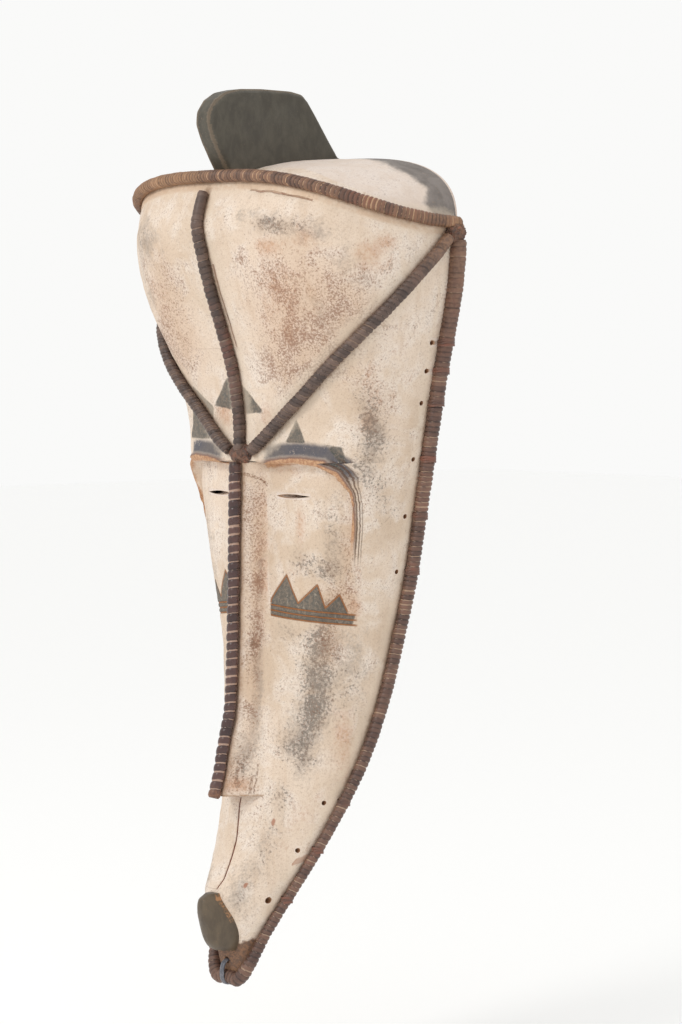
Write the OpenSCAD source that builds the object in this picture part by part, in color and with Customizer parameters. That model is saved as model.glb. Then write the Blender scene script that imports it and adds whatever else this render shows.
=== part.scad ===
// Long carved wooden face mask: a hollow shell with a heart-shaped face, a crest,
// an applied nose and mouth, and wrapped cane bands along its edges and ridges.
// +X is to the viewer's right, +Z is up, and the back rim rests on the plane y = 0.
// The origin is the middle of the flat top of the back rim, where the mask meets a wall.
// Heights below are measured up from the chin tip, and placed() moves them to that origin.

/* [Face] */
// Height of the two top corners above the chin tip
corner_h = 597; // [560:1:630]
// Half width of the wood across the top corners
half_width = 146.5; // [130:0.5:160]
// Depth of the carving as a share of the normal depth
depth_share = 1; // [0.9:0.01:1.1]
// Thickness of the wood at the front of the face
wall = 10.5; // [9:0.5:12]
// Thickness of the wood at the side rims
rim_wall = 8.5; // [7.5:0.5:9.5]
// Rise of the top edge from the corners to the middle
brow_rise = 37; // [25:1:45]
// Rise of the cap's back edge from the corners to the middle
cap_rise = 58; // [50:1:66]

/* [Bands] */
// Outer diameter of a wrapped band
band_d = 10.5; // [9:0.5:12]
// Diameter of the cane core inside the wrapping
core_d = 7; // [5:0.5:8]
// Share of the band's radius that stands off the wood
band_seat = 0.88; // [0.8:0.02:1]

/* [Crest] */
// Thickness of the crest
crest_t = 21; // [16:1:26]
// Height of the crest above the chin tip
crest_top = 707; // [690:1:720]

/* [Eyes] */
// Width of an eye slit
eye_w = 30; // [24:1:34]
// Height of an eye slit at its middle
eye_open = 3; // [2:0.2:5]
// Distance of an eye slit's middle from the centre line
eye_x = 45; // [40:1:50]
// Height of the eye slits above the chin tip
eye_h = 388; // [375:1:395]

/* [Holes] */
// Radius of a lashing hole in the rim
hole_r = 1.8; // [1.4:0.1:2.4]
// Radius of the hole in the chin
chin_hole_r = 2.8; // [2.2:0.1:3]
// Radius of the dowels that hold the crest, nose and mouth
dowel_r = 3.5; // [3:0.1:4]

/* [Hidden] */

// Colours
KAOLIN = [0.87, 0.79, 0.69];
DARK_WOOD = [0.27, 0.24, 0.20];
MOUTH_WOOD = [0.36, 0.29, 0.23];
WRAP = [0.36, 0.22, 0.16];
CANE = [0.58, 0.48, 0.38];
DOWEL = [0.62, 0.47, 0.31];
RESIN = [0.30, 0.14, 0.09];
STAPLE = [0.42, 0.44, 0.46];

// Rows of [height above the chin tip, value], joined by smooth curves.
NORMAL_W = 146.5;
NORMAL_H = 597;
RIM_X = [
    [8, 8], [11, 12], [16, 15.5], [24, 19], [34, 22.5], [47, 27], [66, 35], [100, 48.5],
    [120, 55], [141, 60.5], [182, 69.5], [229, 75.5], [277, 80], [338, 93.5], [410, 108.5],
    [484, 124.5], [549, 141], [597, 146.5]
];
BACK_Y = [
    [8, -110], [16, -107.5], [28, -103], [47, -95], [64, -87], [97, -71], [141, -49],
    [182, -31], [229, -15], [277, -4], [320, 0], [350, 0], [597, 0]
];
CENTRE_Y = [
    [8, -116], [24, -119], [40, -123], [58, -128], [72, -131], [84, -125], [98, -117],
    [114, -110], [144, -105], [165, -100], [200, -95], [250, -92], [300, -91], [342, -93],
    [378, -97], [400, -100], [416, -101], [446, -99], [484, -100], [520, -102], [555, -108],
    [583, -116], [600, -121], [634, -114]
];
FACE_Y = [[300, -91], [388, -90], [416, -90]];
FOREHEAD_BULGE = [[420, 0], [446, 2], [484, 7], [520, 17], [555, 24], [583, 24], [634, 20]];
// Squareness of the level section: 2 is an ellipse, lower is a keel, higher is a box.
SQUARENESS = [
    [8, 2.4], [60, 2.1], [100, 2.1], [141, 1.9], [200, 2.2], [260, 2.5], [300, 2.8],
    [350, 3.1], [410, 3.2], [440, 3.1], [458, 3.3], [484, 4], [520, 4.2], [545, 3.9],
    [585, 3.4], [600, 3], [640, 3]
];
// Angle round the section at which the diagonal band crosses it.
DIAGONAL_ANGLE = [
    [420, 1], [444, 11], [484, 28.5], [508, 44], [531, 61], [554, 74.5], [578, 84.5], [597, 88]
];
// Half width of the brow arch that frames the sunken face.
ARCH_TOP = 414.5;
ARCH_X = [
    [300, 92], [342, 86], [360, 89], [378, 92], [390, 92], [400, 89], [406, 85], [411, 78],
    [413, 66], [414, 48], [ARCH_TOP, 0]
];
RIDGE_Y = [
    [150, -127], [169, -121.5], [193, -116.5], [217, -110.5], [253, -108], [305, -106.5],
    [357, -105.5], [412, -104.5]
];

KX = half_width / NORMAL_W;
KH = corner_h / NORMAL_H;
KY = depth_share;
TOP_SQUARE = 2.6;
SIDE_ANGLE = 88;
FACE_TOP = 585;
COLUMNS = 28;
FACE_ROWS = [
    8, 11, 16, 24, 34, 46, 60, 74, 88, 104, 124, 148, 175, 205, 240, 280, 320, 350, 375, 395,
    405, 409, 413, 417, 432, 450, 470, 490, 510, 530, 550, 570, FACE_TOP
];
CAP_ROWS = [0.12, 0.3, 0.5, 0.7, 0.88, 1];
CAP_DOME = 5;
CAP_TUCK = 0.055;
CAP_BACK_Y = -3;
TOP_STEPS = 2;
LEDGE_BLEND = 4;
REST_H = (corner_h + cap_rise) - wall / 2;
BAND_R = band_d / 2;
CORE_R = core_d / 2;
BAND_OFF = BAND_R * band_seat;
EDGE_FROM_BACK = 7;
CHIN_LIFT = 2;
TUBE_SIDES = 8;
GAP = 0.01;

// ---- Smooth curves through rows of [key, value] ----

function row_before(rows, key) = max([0, for (i = [0 : len(rows) - 2]) if (key >= rows[i][0]) i]);
function tilt(rows, i) =
    let (a = max(i - 1, 0), b = min(i + 1, len(rows) - 1))
    (rows[b][1] - rows[a][1]) / (rows[b][0] - rows[a][0]);
function smooth(rows, key) =
    let (
        k = min(max(key, rows[0][0]), rows[len(rows) - 1][0]),
        i = row_before(rows, k),
        span = rows[i + 1][0] - rows[i][0],
        u = (k - rows[i][0]) / span,
        turn_in = tilt(rows, i) * (u * u * u - 2 * u * u + u),
        turn_out = tilt(rows, i + 1) * (u * u * u - u * u)
    )
    rows[i][1] * (2 * u * u * u - 3 * u * u + 1)
        + rows[i + 1][1] * (3 * u * u - 2 * u * u * u)
        + span * (turn_in + turn_out);
function mix(a, b, share) = a + (b - a) * share;
function ease(u) = let (c = min(max(u, 0), 1)) c * c * (3 - 2 * c);
function unit(v) = v / norm(v);

// ---- The outside of the face ----

function rim_x(h) = KX * smooth(RIM_X, h / KH);
function back_y(h) = KY * min(0, smooth(BACK_Y, h / KH));
function side(angle, square) = sign(angle) * pow(abs(sin(angle)), 2 / square);
function front(angle, square) = pow(cos(angle), 2 / square);
function arch_share(x, h) = h / KH > ARCH_TOP ? 0 : ease((KX * lookup(h / KH, ARCH_X) - abs(x)) / LEDGE_BLEND);
function bulge(angle, h) =
    let (q = abs(angle) / smooth(DIAGONAL_ANGLE, h / KH))
    h / KH <= 420 || q >= 1 ? 0 : smooth(FOREHEAD_BULGE, h / KH) * (1 - q * q);
function centre_y(x, h) =
    h / KH <= 300 ? KY * smooth(CENTRE_Y, h / KH)
    : KY * mix(smooth(CENTRE_Y, h / KH), smooth(FACE_Y, h / KH), arch_share(x, h));
function outer(angle, h) =
    let (
        square = smooth(SQUARENESS, h / KH),
        x = rim_x(h) * side(angle, square),
        y = back_y(h) - (back_y(h) - centre_y(x, h)) * front(angle, square)
    )
    [x, y - KY * bulge(angle, h), h];

// ---- The top edge and the cap behind it ----

function top_h(angle) = corner_h + brow_rise * pow(front(angle, TOP_SQUARE), 1.9);
function back_h(angle) = corner_h + cap_rise * pow(front(angle, TOP_SQUARE), 0.9);
function cap(angle, share) =
    let (
        edge = outer(angle, top_h(angle)),
        dome = CAP_DOME * sin(180 * share) * front(angle, TOP_SQUARE)
    )
    [
        edge[0] * (1 - CAP_TUCK * share * share),
        mix(edge[1], CAP_BACK_Y, share), mix(edge[2], back_h(angle), share) + dome
    ];

// ---- The inside ----

function inner_h(h) = h >= 60 ? h : 16 + h * 44 / 60;
function inner(angle, h) =
    let (
        ih = inner_h(h),
        square = min(smooth(SQUARENESS, ih / KH), TOP_SQUARE),
        x = max(rim_x(ih) - rim_wall, 2.5) * side(angle, square),
        y0 = KY * (smooth(CENTRE_Y, ih / KH) - 0.7 * smooth(FOREHEAD_BULGE, ih / KH)),
        y1 = ih / KH < 300 || ih / KH > 416 ? y0 : KY * smooth(FACE_Y, ih / KH),
        y = back_y(ih) - (back_y(ih) - y1 - wall) * front(angle, square)
    )
    [x, y, ih];
function inner_cap(angle, share) =
    let (edge = inner(angle, top_h(angle) - wall), p = cap(angle, share))
    [
        edge[0] * (1 - CAP_TUCK * share * share),
        mix(edge[1], CAP_BACK_Y, share), p[2] - wall
    ];

// ---- Grids of points: one row for each height, one point for each column ----

function angle_of(i) = -SIDE_ANGLE + 2 * SIDE_ANGLE * i / COLUMNS;
function face_row(h) = [for (i = [0 : COLUMNS]) outer(angle_of(i), h)];
function face_inner_row(h) = [for (i = [0 : COLUMNS]) inner(angle_of(i), h)];
OUTER_GRID = [
    for (h = FACE_ROWS) face_row(h * KH),
    for (k = [1 : TOP_STEPS])
        [for (i = [0 : COLUMNS]) outer(angle_of(i), mix(FACE_TOP * KH, top_h(angle_of(i)), k / TOP_STEPS))],
    for (share = CAP_ROWS) [for (i = [0 : COLUMNS]) cap(angle_of(i), share)]
];
INNER_GRID = [
    for (h = FACE_ROWS) [for (i = [0 : COLUMNS]) inner(angle_of(i), min(h * KH, FACE_TOP * KH - wall))],
    for (k = [1 : TOP_STEPS])
        [for (i = [0 : COLUMNS])
            inner(angle_of(i), mix(FACE_TOP * KH, top_h(angle_of(i)), k / TOP_STEPS) - wall + 0.1 * k)],
    for (share = CAP_ROWS) [for (i = [0 : COLUMNS]) inner_cap(angle_of(i), share)]
];
ROWS = len(OUTER_GRID);

function flat(lists) = [for (l = lists) each l];
// Index of each point on the border of a grid, once round.
BORDER = [
    for (i = [0 : COLUMNS]) i,
    for (r = [1 : ROWS - 1]) r * (COLUMNS + 1) + COLUMNS,
    for (i = [1 : COLUMNS]) (ROWS - 1) * (COLUMNS + 1) + COLUMNS - i,
    for (r = [1 : ROWS - 2]) (ROWS - 1 - r) * (COLUMNS + 1)
];
function grid_faces(start, flip) = [
    for (r = [0 : ROWS - 2], i = [0 : COLUMNS - 1])
        let (
            a = start + r * (COLUMNS + 1) + i, b = a + 1,
            c = b + COLUMNS + 1, d = a + COLUMNS + 1
        )
        each flip ? [[a, b, c], [a, c, d]] : [[c, b, a], [d, c, a]]
];
// Triangles between two closed loops of point indexes.
function loop_faces(p, q) = [
    for (k = [0 : len(p) - 1])
        let (n = (k + 1) % len(p))
        each [[p[k], p[n], q[n]], [p[k], q[n], q[k]]]
];

module shell_body() {
    outside = flat(OUTER_GRID);
    inside = flat(INNER_GRID);
    count = len(outside);
    ring = len(BORDER);
    outside_back = [for (k = BORDER) [outside[k][0], back_y(outside[k][2]), outside[k][2]]];
    inside_back = [for (k = BORDER) [inside[k][0], back_y(inside[k][2]), inside[k][2]]];
    out_edge = BORDER;
    out_back = [for (k = [0 : ring - 1]) 2 * count + k];
    in_back = [for (k = [0 : ring - 1]) 2 * count + ring + k];
    in_edge = [for (k = BORDER) count + k];
    polyhedron(
        points = concat(outside, inside, outside_back, inside_back),
        faces = concat(
            grid_faces(0, false), grid_faces(count, true),
            loop_faces(out_edge, out_back), loop_faces(out_back, in_back),
            loop_faces(in_back, in_edge)
        ),
        convexity = 10
    );
}

module placed() translate([0, 0, -REST_H]) children();

// ---- The wrapped bands ----

// Outward direction of the face at an angle round the section.
function outward(angle, h) =
    let (
        step = 2,
        a = outer(min(angle + step, SIDE_ANGLE), h) - outer(max(angle - step, -SIDE_ANGLE), h),
        b = outer(angle, h + step) - outer(angle, h - step)
    )
    unit(cross(a, b));
function on_face(angle, h, off) = outer(angle, h) + off * outward(angle, h);
function edge_point(h) =
    let (slope = (rim_x(h + 1) - rim_x(h - 1)) / 2, n = unit([1, -slope]))
    [rim_x(h) + BAND_OFF * n[0], back_y(h) - EDGE_FROM_BACK, h + BAND_OFF * n[1]];
function mirrored(path) = [for (p = path) [-p[0], p[1], p[2]]];

TOP_PATH = [
    for (i = [0 : 26])
        let (angle = -86 + 172 * i / 26, p = outer(angle, top_h(angle)), push = BAND_OFF / sqrt(2))
        let (n = unit([p[0] / pow(half_width, 2), p[1] / pow(140, 2)]))
        [p[0] + push * n[0], p[1] + push * n[1], p[2] + push]
];
DIAGONAL_PATH = [
    for (h = [432, 444, 458, 471, 484, 496, 508, 520, 531, 542, 554, 566, 578, 588])
        on_face(smooth(DIAGONAL_ANGLE, h), h * KH, BAND_OFF)
];
CENTRE_PATH = [
    for (h = [432, 446, 464, 482, 500, 518, 536, 554, 572, 590, 606, 620]) on_face(0, h * KH, BAND_OFF)
];
NOSE_PATH = [
    for (h = [150, 160, 172, 186, 200, 216, 234, 254, 275, 296, 317, 338, 359, 380, 400, 411])
        [0, KY * smooth(RIDGE_Y, h) - BAND_OFF, h * KH]
];
EDGE_PATH = [
    [0, back_y(8) - EDGE_FROM_BACK, BAND_R + CHIN_LIFT],
    for (h = [
        9, 12, 17, 24, 34, 46, 60, 75, 90, 106, 122, 140, 158, 178, 198, 218, 240, 262, 284,
        306, 328, 350, 372, 394, 416, 438, 460, 482, 504, 526, 548, 570, 588
    ]) edge_point(h * KH)
];

function ring(centre, along, reference, r) =
    let (u = unit(cross(along, reference)), v = unit(cross(u, along)))
    [for (k = [0 : TUBE_SIDES - 1])
        let (a = 360 * k / TUBE_SIDES)
        centre + r * (cos(a) * u + sin(a) * v)];
function along(path, i) = unit(path[min(i + 1, len(path) - 1)] - path[max(i - 1, 0)]);
function side_faces(first, rings, flip) = [
    for (j = [0 : rings - 2], k = [0 : TUBE_SIDES - 1])
        let (
            n = (k + 1) % TUBE_SIDES, a = first + j * TUBE_SIDES + k, b = first + j * TUBE_SIDES + n,
            c = b + TUBE_SIDES, d = a + TUBE_SIDES
        )
        each flip ? [[a, b, c], [a, c, d]] : [[c, b, a], [d, c, a]]
];
function end_faces(p, q, flip) = [
    for (k = [0 : TUBE_SIDES - 1])
        let (n = (k + 1) % TUBE_SIDES)
        each flip ? [[p + k, p + n, q + n], [p + k, q + n, q + k]]
            : [[q + n, p + n, p + k], [q + k, q + n, p + k]]
];

module rod(path, reference, r) {
    n = len(path);
    points = flat([for (i = [0 : n - 1]) ring(path[i], along(path, i), reference, r)]);
    last = (n - 1) * TUBE_SIDES;
    polyhedron(
        points = points,
        faces = concat(
            side_faces(0, n, false),
            [[for (k = [0 : TUBE_SIDES - 1]) k]],
            [[for (k = [TUBE_SIDES - 1 : -1 : 0]) last + k]]
        ),
        convexity = 6
    );
}

module sleeve(path, reference, r, bore) {
    n = len(path);
    big = flat([for (i = [0 : n - 1]) ring(path[i], along(path, i), reference, r)]);
    small = flat([for (i = [0 : n - 1]) ring(path[i], along(path, i), reference, bore)]);
    count = len(big);
    last = (n - 1) * TUBE_SIDES;
    polyhedron(
        points = concat(big, small),
        faces = concat(
            side_faces(0, n, false), side_faces(count, n, true),
            end_faces(0, count, true), end_faces(last, count + last, false)
        ),
        convexity = 6
    );
}

FRONT = [0, 1, 0];
UP = [0, 0, 1];
module band_core(path, reference) color(CANE) placed() rod(path, reference, CORE_R);
module band_wrap(path, reference) color(WRAP) placed() sleeve(path, reference, BAND_R, CORE_R);

// ---- Holes, dowels and lashings ----

HOLE_HEIGHTS = [70, 109, 146, 328, 372, 417, 461, 486, 508];
HOLE_INBOARD = 13;
HOLE_DEPTH = 40;
CHIN_HOLE_H = 20;
// A lashing hole runs level through the side wall, turned a little towards the back.
HOLE_TURN = 6;
function hole_point(h) = [rim_x(h) - rim_wall / 2, back_y(h) - EDGE_FROM_BACK - HOLE_INBOARD, h];
module lashing_hole(h, hand) {
    p = hole_point(h);
    translate([hand * p[0], p[1], p[2]])
        rotate([0, 0, hand * HOLE_TURN]) rotate([0, 90, 0])
            cylinder(r = hole_r, h = HOLE_DEPTH, center = true, $fn = 24);
}
module chin_hole()
    translate([0, -130, CHIN_HOLE_H]) rotate([-90, 0, 0]) cylinder(r = chin_hole_r, h = 40, $fn = 24);
module eye_slit(hand) {
    lens_r = (pow(eye_w / 2, 2) + pow(eye_open / 2, 2)) / eye_open;
    translate([hand * eye_x, -110, eye_h])
        rotate([-90, 0, 0])
            intersection() {
                translate([0, lens_r - eye_open / 2, 0]) cylinder(r = lens_r, h = 60, $fn = 96);
                translate([0, eye_open / 2 - lens_r, 0]) cylinder(r = lens_r, h = 60, $fn = 96);
            }
}

CREST_DOWELS_Y = [-100, -38];
CREST_DOWEL_LEN = 26;
CREST_DOWEL_SINK = 8;
module crest_dowel_set(r)
    for (y = CREST_DOWELS_Y) {
        top = mix(cap(0, 0)[2], cap(0, 1)[2], 1 - y / cap(0, 0)[1]);
        translate([0, y, top - CREST_DOWEL_SINK + CAP_DOME / 2])
            cylinder(r = r, h = CREST_DOWEL_LEN, $fn = 32);
    }
NOSE_DOWELS_H = [205, 350];
module nose_dowel_set(r)
    for (h = NOSE_DOWELS_H)
        translate([0, centre_y(0, h) - 10, h]) rotate([-90, 0, 0]) cylinder(r = r, h = 17, $fn = 32);
MOUTH_DOWEL_H = 52;
module mouth_dowel_set(r)
    translate([0, -134, MOUTH_DOWEL_H]) rotate([-90, 0, 0]) cylinder(r = r, h = 18, $fn = 32);

// ---- Sub-parts ----

module shell()
    color(KAOLIN) placed() difference() {
        shell_body();
        crest_dowel_set(dowel_r);
        nose_dowel_set(dowel_r);
        mouth_dowel_set(dowel_r);
        chin_hole();
        for (hand = [-1, 1]) {
            eye_slit(hand);
            for (h = HOLE_HEIGHTS) lashing_hole(h * KH, hand);
        }
    }

CREST_TOP_OUTLINE = [
    [-7, 656], [-39, 699], [-45, 704.5], [-57, 706.6], [-88, 707], [-110, 706], [-124, 703],
    [-134.5, 696.5], [-141, 687], [-141.5, 677], [-137, 665], [-129, 651], [-122, 640]
];
module crest() {
    base = [for (share = concat([0.03], CAP_ROWS)) let (p = cap(0, share)) [p[1], p[2] + GAP]];
    lift = crest_top - 707;
    outline = concat(base, [for (p = CREST_TOP_OUTLINE) [p[0], p[1] + (p[1] > 670 ? lift : 0)]]);
    color(DARK_WOOD) placed() difference() {
        translate([-crest_t / 2, 0, 0]) rotate([90, 0, 90]) linear_extrude(crest_t) polygon(outline);
        crest_dowel_set(dowel_r);
    }
}
module crest_dowels() color(DOWEL) placed() crest_dowel_set(dowel_r);

NOSE_ROWS = [151, 160, 175, 190, 205, 222, 240, 260, 280, 300, 320, 350, 375, 395, 405];
function nose_half(h) = mix(21, 15.5, (h - 151) / 254);
module nose() {
    n = len(NOSE_ROWS);
    ridge_half = 4.5;
    points = flat([
        for (h = NOSE_ROWS)
            let (
                y0 = centre_y(0, h) - GAP, y1 = KY * smooth(RIDGE_Y, h), b = nose_half(h),
                cheek_x = mix(ridge_half, b, 0.6), cheek_y = mix(y1, y0, 0.5)
            )
            [[-b, y0, h], [-cheek_x, cheek_y, h], [-ridge_half, y1, h],
             [ridge_half, y1, h], [cheek_x, cheek_y, h], [b, y0, h]]
    ]);
    faces = [
        for (j = [0 : n - 2], k = [0 : 5])
            let (a = 6 * j + k, b = 6 * j + (k + 1) % 6)
            each [[a, b, b + 6], [a, b + 6, a + 6]]
    ];
    color(KAOLIN) placed() difference() {
        polyhedron(
            points = points,
            faces = concat(faces, [[5, 4, 3, 2, 1, 0]], [[for (k = [0 : 5]) 6 * (n - 1) + k]]),
            convexity = 4
        );
        nose_dowel_set(dowel_r);
    }
}
module nose_dowels() color(DOWEL) placed() nose_dowel_set(dowel_r);

// Rows of [height, half width, depth of the front].
MOUTH_ROWS = [
    [29, 11, -131], [34, 13.5, -136], [40, 15, -139.5], [48, 15.5, -142], [56, 14.5, -144.5],
    [63, 12, -146], [70, 8.5, -146], [75, 5, -143]
];
function face_y_at(x, h) =
    let (square = smooth(SQUARENESS, h), share = min(abs(x) / rim_x(h), 0.98))
    back_y(h) - (back_y(h) - centre_y(x, h)) * pow(1 - pow(share, square), 1 / square);
module mouth() {
    n = len(MOUTH_ROWS);
    points = flat([
        for (row = MOUTH_ROWS)
            let (h = row[0], w = row[1], y = row[2], edge = face_y_at(w, h))
            [[-w, edge, h], [-w, edge - 5, h], [-0.62 * w, mix(y, edge, 0.28), h], [0, y, h],
             [0.62 * w, mix(y, edge, 0.28), h], [w, edge - 5, h], [w, edge, h],
             [0.5 * w, face_y_at(0.5 * w, h) - GAP, h], [0, centre_y(0, h) - GAP, h],
             [-0.5 * w, face_y_at(0.5 * w, h) - GAP, h]]
    ]);
    faces = [
        for (j = [0 : n - 2], k = [0 : 9])
            let (a = 10 * j + k, b = 10 * j + (k + 1) % 10)
            each [[a, b, b + 10], [a, b + 10, a + 10]]
    ];
    color(MOUTH_WOOD) placed() difference() {
        polyhedron(
            points = points,
            faces = concat(
                faces, [[for (k = [9 : -1 : 0]) k]], [[for (k = [0 : 9]) 10 * (n - 1) + k]]
            ),
            convexity = 4
        );
        mouth_dowel_set(dowel_r);
    }
}
module mouth_dowel() color(DOWEL) placed() mouth_dowel_set(dowel_r);

module top_band_core() band_core(TOP_PATH, UP);
module top_band_wrap() band_wrap(TOP_PATH, UP);
module centre_band_core() band_core(CENTRE_PATH, FRONT);
module centre_band_wrap() band_wrap(CENTRE_PATH, FRONT);
module right_diagonal_core() band_core(DIAGONAL_PATH, FRONT);
module right_diagonal_wrap() band_wrap(DIAGONAL_PATH, FRONT);
module left_diagonal_core() band_core(mirrored(DIAGONAL_PATH), FRONT);
module left_diagonal_wrap() band_wrap(mirrored(DIAGONAL_PATH), FRONT);
module nose_band_core() band_core(NOSE_PATH, FRONT);
module nose_band_wrap() band_wrap(NOSE_PATH, FRONT);
module right_edge_core() band_core(EDGE_PATH, FRONT);
module right_edge_wrap() band_wrap(EDGE_PATH, FRONT);
module left_edge_core() band_core(mirrored(EDGE_PATH), FRONT);
module left_edge_wrap() band_wrap(mirrored(EDGE_PATH), FRONT);

// A lashing is an open loop of split cane over the edge band, down into its hole.
LASHING_R = 0.9;
LASHING_ARC = 230;
module edge_lashings(hand)
    color(WRAP) placed()
        for (h = HOLE_HEIGHTS) {
            p = edge_point(h * KH);
            translate([hand * p[0], p[1], p[2]])
                rotate([0, 0, hand > 0 ? -160 : -70])
                    rotate_extrude(angle = LASHING_ARC, $fn = 48)
                        translate([BAND_R + LASHING_R + 0.1, 0]) circle(r = LASHING_R, $fn = 16);
        }
module right_edge_lashings() edge_lashings(1);
module left_edge_lashings() edge_lashings(-1);

// A cane staple from the chin hole over the lower edge.
module chin_staple()
    color(STAPLE) placed()
        translate([0, -116, 10.8])
            rotate([90, 0, 90])
                for (x = [-1.3, 1.3])
                    translate([0, 0, x])
                        rotate([0, 0, 60])
                            rotate_extrude(angle = 240, $fn = 48)
                                translate([10, 0]) circle(r = 1.2, $fn = 16);

module knot(centre, r, flat_share)
    translate(centre) scale([1, flat_share, 1]) sphere(r = r, $fn = 28);
module bridge_knot() color(RESIN) placed() knot([0, -105.5, 420], 9.5, 0.9);
module corner_knot(hand)
    color(RESIN) placed() knot([hand * (half_width + 3), -11, corner_h - 3], 7.5, 1);
module right_corner_knot() corner_knot(1);
module left_corner_knot() corner_knot(-1);

shell();
crest();
crest_dowels();
nose();
nose_dowels();
mouth();
mouth_dowel();
top_band_core();
top_band_wrap();
centre_band_core();
centre_band_wrap();
left_diagonal_core();
left_diagonal_wrap();
right_diagonal_core();
right_diagonal_wrap();
nose_band_core();
nose_band_wrap();
left_edge_core();
left_edge_wrap();
right_edge_core();
right_edge_wrap();
left_edge_lashings();
right_edge_lashings();
chin_staple();
bridge_knot();
left_corner_knot();
right_corner_knot();
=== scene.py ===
"""Looks of the long kaolin mask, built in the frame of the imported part.

Shapes are worked out in millimetres with heights above the chin tip, the same
way as the part itself, and moved to the part's origin when a mesh is made.
"""

import math

import bmesh
import bpy
import numpy as np
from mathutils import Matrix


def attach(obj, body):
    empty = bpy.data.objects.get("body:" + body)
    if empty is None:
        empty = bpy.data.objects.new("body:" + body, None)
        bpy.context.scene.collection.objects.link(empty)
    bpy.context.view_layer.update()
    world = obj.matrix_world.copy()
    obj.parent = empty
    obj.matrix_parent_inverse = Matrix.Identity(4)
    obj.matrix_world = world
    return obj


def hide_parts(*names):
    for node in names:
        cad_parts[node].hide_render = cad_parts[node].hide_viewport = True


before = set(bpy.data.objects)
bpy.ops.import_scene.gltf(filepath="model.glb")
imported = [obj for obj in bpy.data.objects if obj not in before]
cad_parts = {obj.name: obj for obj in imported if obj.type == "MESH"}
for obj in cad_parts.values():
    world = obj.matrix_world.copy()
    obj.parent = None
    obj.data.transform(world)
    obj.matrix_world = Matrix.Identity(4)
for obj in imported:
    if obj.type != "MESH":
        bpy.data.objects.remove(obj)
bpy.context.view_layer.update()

REST_H = 649.75  # height of the part's origin above the chin tip
SIDE_ANGLE = 88.0  # angle round a section at which the shell meets its back rim
TOP_SQUARE = 2.6  # squareness of the cap's outline
HALF_WIDTH = 146.5
CORNER_H = 597  # height of the two top corners
LEVEL_H = 585  # above this the rows rise towards the middle
BROW_H = 420  # the forehead bulges above this
FACE_LOW = 300
FACE_HIGH = 416
ARCH_TOP = 414.5
WALL_FRONT = 10.5
WALL_SIDE = 8.5
CAP_TAPER = 0.055  # share by which the cap narrows towards the back
BAND_R = 5.25
CORE_R = 3.5
BAND_OFF = BAND_R * 0.88  # a band's centre stands this far off the wood


# ---- Smooth curves through rows of [key, value] ----

def curve(*rows):
    k = np.array([r[0] for r in rows], float)
    v = np.array([r[1] for r in rows], float)
    t = np.empty(len(k))
    t[0] = (v[1] - v[0]) / (k[1] - k[0])
    t[-1] = (v[-1] - v[-2]) / (k[-1] - k[-2])
    t[1:-1] = (v[2:] - v[:-2]) / (k[2:] - k[:-2])

    def at(x):
        x = np.clip(np.asarray(x, float), k[0], k[-1])
        i = np.clip(np.searchsorted(k, x, side="right") - 1, 0, len(k) - 2)
        s = k[i + 1] - k[i]
        u = (x - k[i]) / s
        return (
            v[i] * (2 * u**3 - 3 * u**2 + 1) + v[i + 1] * (3 * u**2 - 2 * u**3)
            + s * (t[i] * (u**3 - 2 * u**2 + u) + t[i + 1] * (u**3 - u**2))
        )
    return at


def steps(*rows):
    k = [r[0] for r in rows]
    v = [r[1] for r in rows]
    return lambda x: np.interp(x, k, v)


RIM_X = curve(
    (8, 8), (11, 12), (16, 15.5), (24, 19), (34, 22.5), (47, 27), (66, 35), (100, 48.5),
    (120, 55), (141, 60.5), (182, 69.5), (229, 75.5), (277, 80), (338, 93.5), (410, 108.5),
    (484, 124.5), (549, 141), (597, 146.5))
BACK_Y = curve(
    (8, -110), (16, -107.5), (28, -103), (47, -95), (64, -87), (97, -71), (141, -49),
    (182, -31), (229, -15), (277, -4), (320, 0), (350, 0), (597, 0))
CENTRE_Y = curve(
    (8, -116), (24, -119), (40, -123), (58, -128), (72, -131), (84, -125), (98, -117),
    (114, -110), (144, -105), (165, -100), (200, -95), (250, -92), (300, -91), (342, -93),
    (378, -97), (400, -100), (416, -101), (446, -99), (484, -100), (520, -102), (555, -108),
    (583, -116), (600, -121), (634, -114))
FACE_Y = curve((300, -91), (388, -90), (416, -90))
BULGE = curve((420, 0), (446, 2), (484, 7), (520, 17), (555, 24), (583, 24), (634, 20))
SQUARE = curve(
    (8, 2.4), (60, 2.1), (100, 2.1), (141, 1.9), (200, 2.2), (260, 2.5), (300, 2.8),
    (350, 3.1), (410, 3.2), (440, 3.1), (458, 3.3), (484, 4), (520, 4.2), (545, 3.9),
    (585, 3.4), (600, 3), (640, 3))
DIAGONAL = curve(
    (420, 1), (444, 11), (484, 28.5), (508, 44), (531, 61), (554, 74.5), (578, 84.5), (597, 88))
ARCH_X = steps(
    (300, 92), (342, 86), (360, 89), (378, 92), (390, 92), (400, 89), (406, 85), (411, 78),
    (413, 66), (414, 48), (414.5, 0))
RIDGE_Y = curve(
    (150, -127), (169, -121.5), (193, -116.5), (217, -110.5), (253, -108), (305, -106.5),
    (357, -105.5), (412, -104.5))


def ease(u):
    c = np.clip(u, 0, 1)
    return c * c * (3 - 2 * c)


def side(a, n):
    return np.sign(a) * np.abs(np.sin(np.radians(a))) ** (2 / n)


def front(a, n):
    return np.abs(np.cos(np.radians(a))) ** (2 / n)


def back_y(h):
    return np.minimum(0, BACK_Y(h))


def centre_y(x, h):
    arch = np.where(h > ARCH_TOP, 0, ease((ARCH_X(h) - np.abs(x)) / 2.6))
    c = CENTRE_Y(h)
    return np.where(h <= FACE_LOW, c, c + (FACE_Y(h) - c) * arch)


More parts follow.
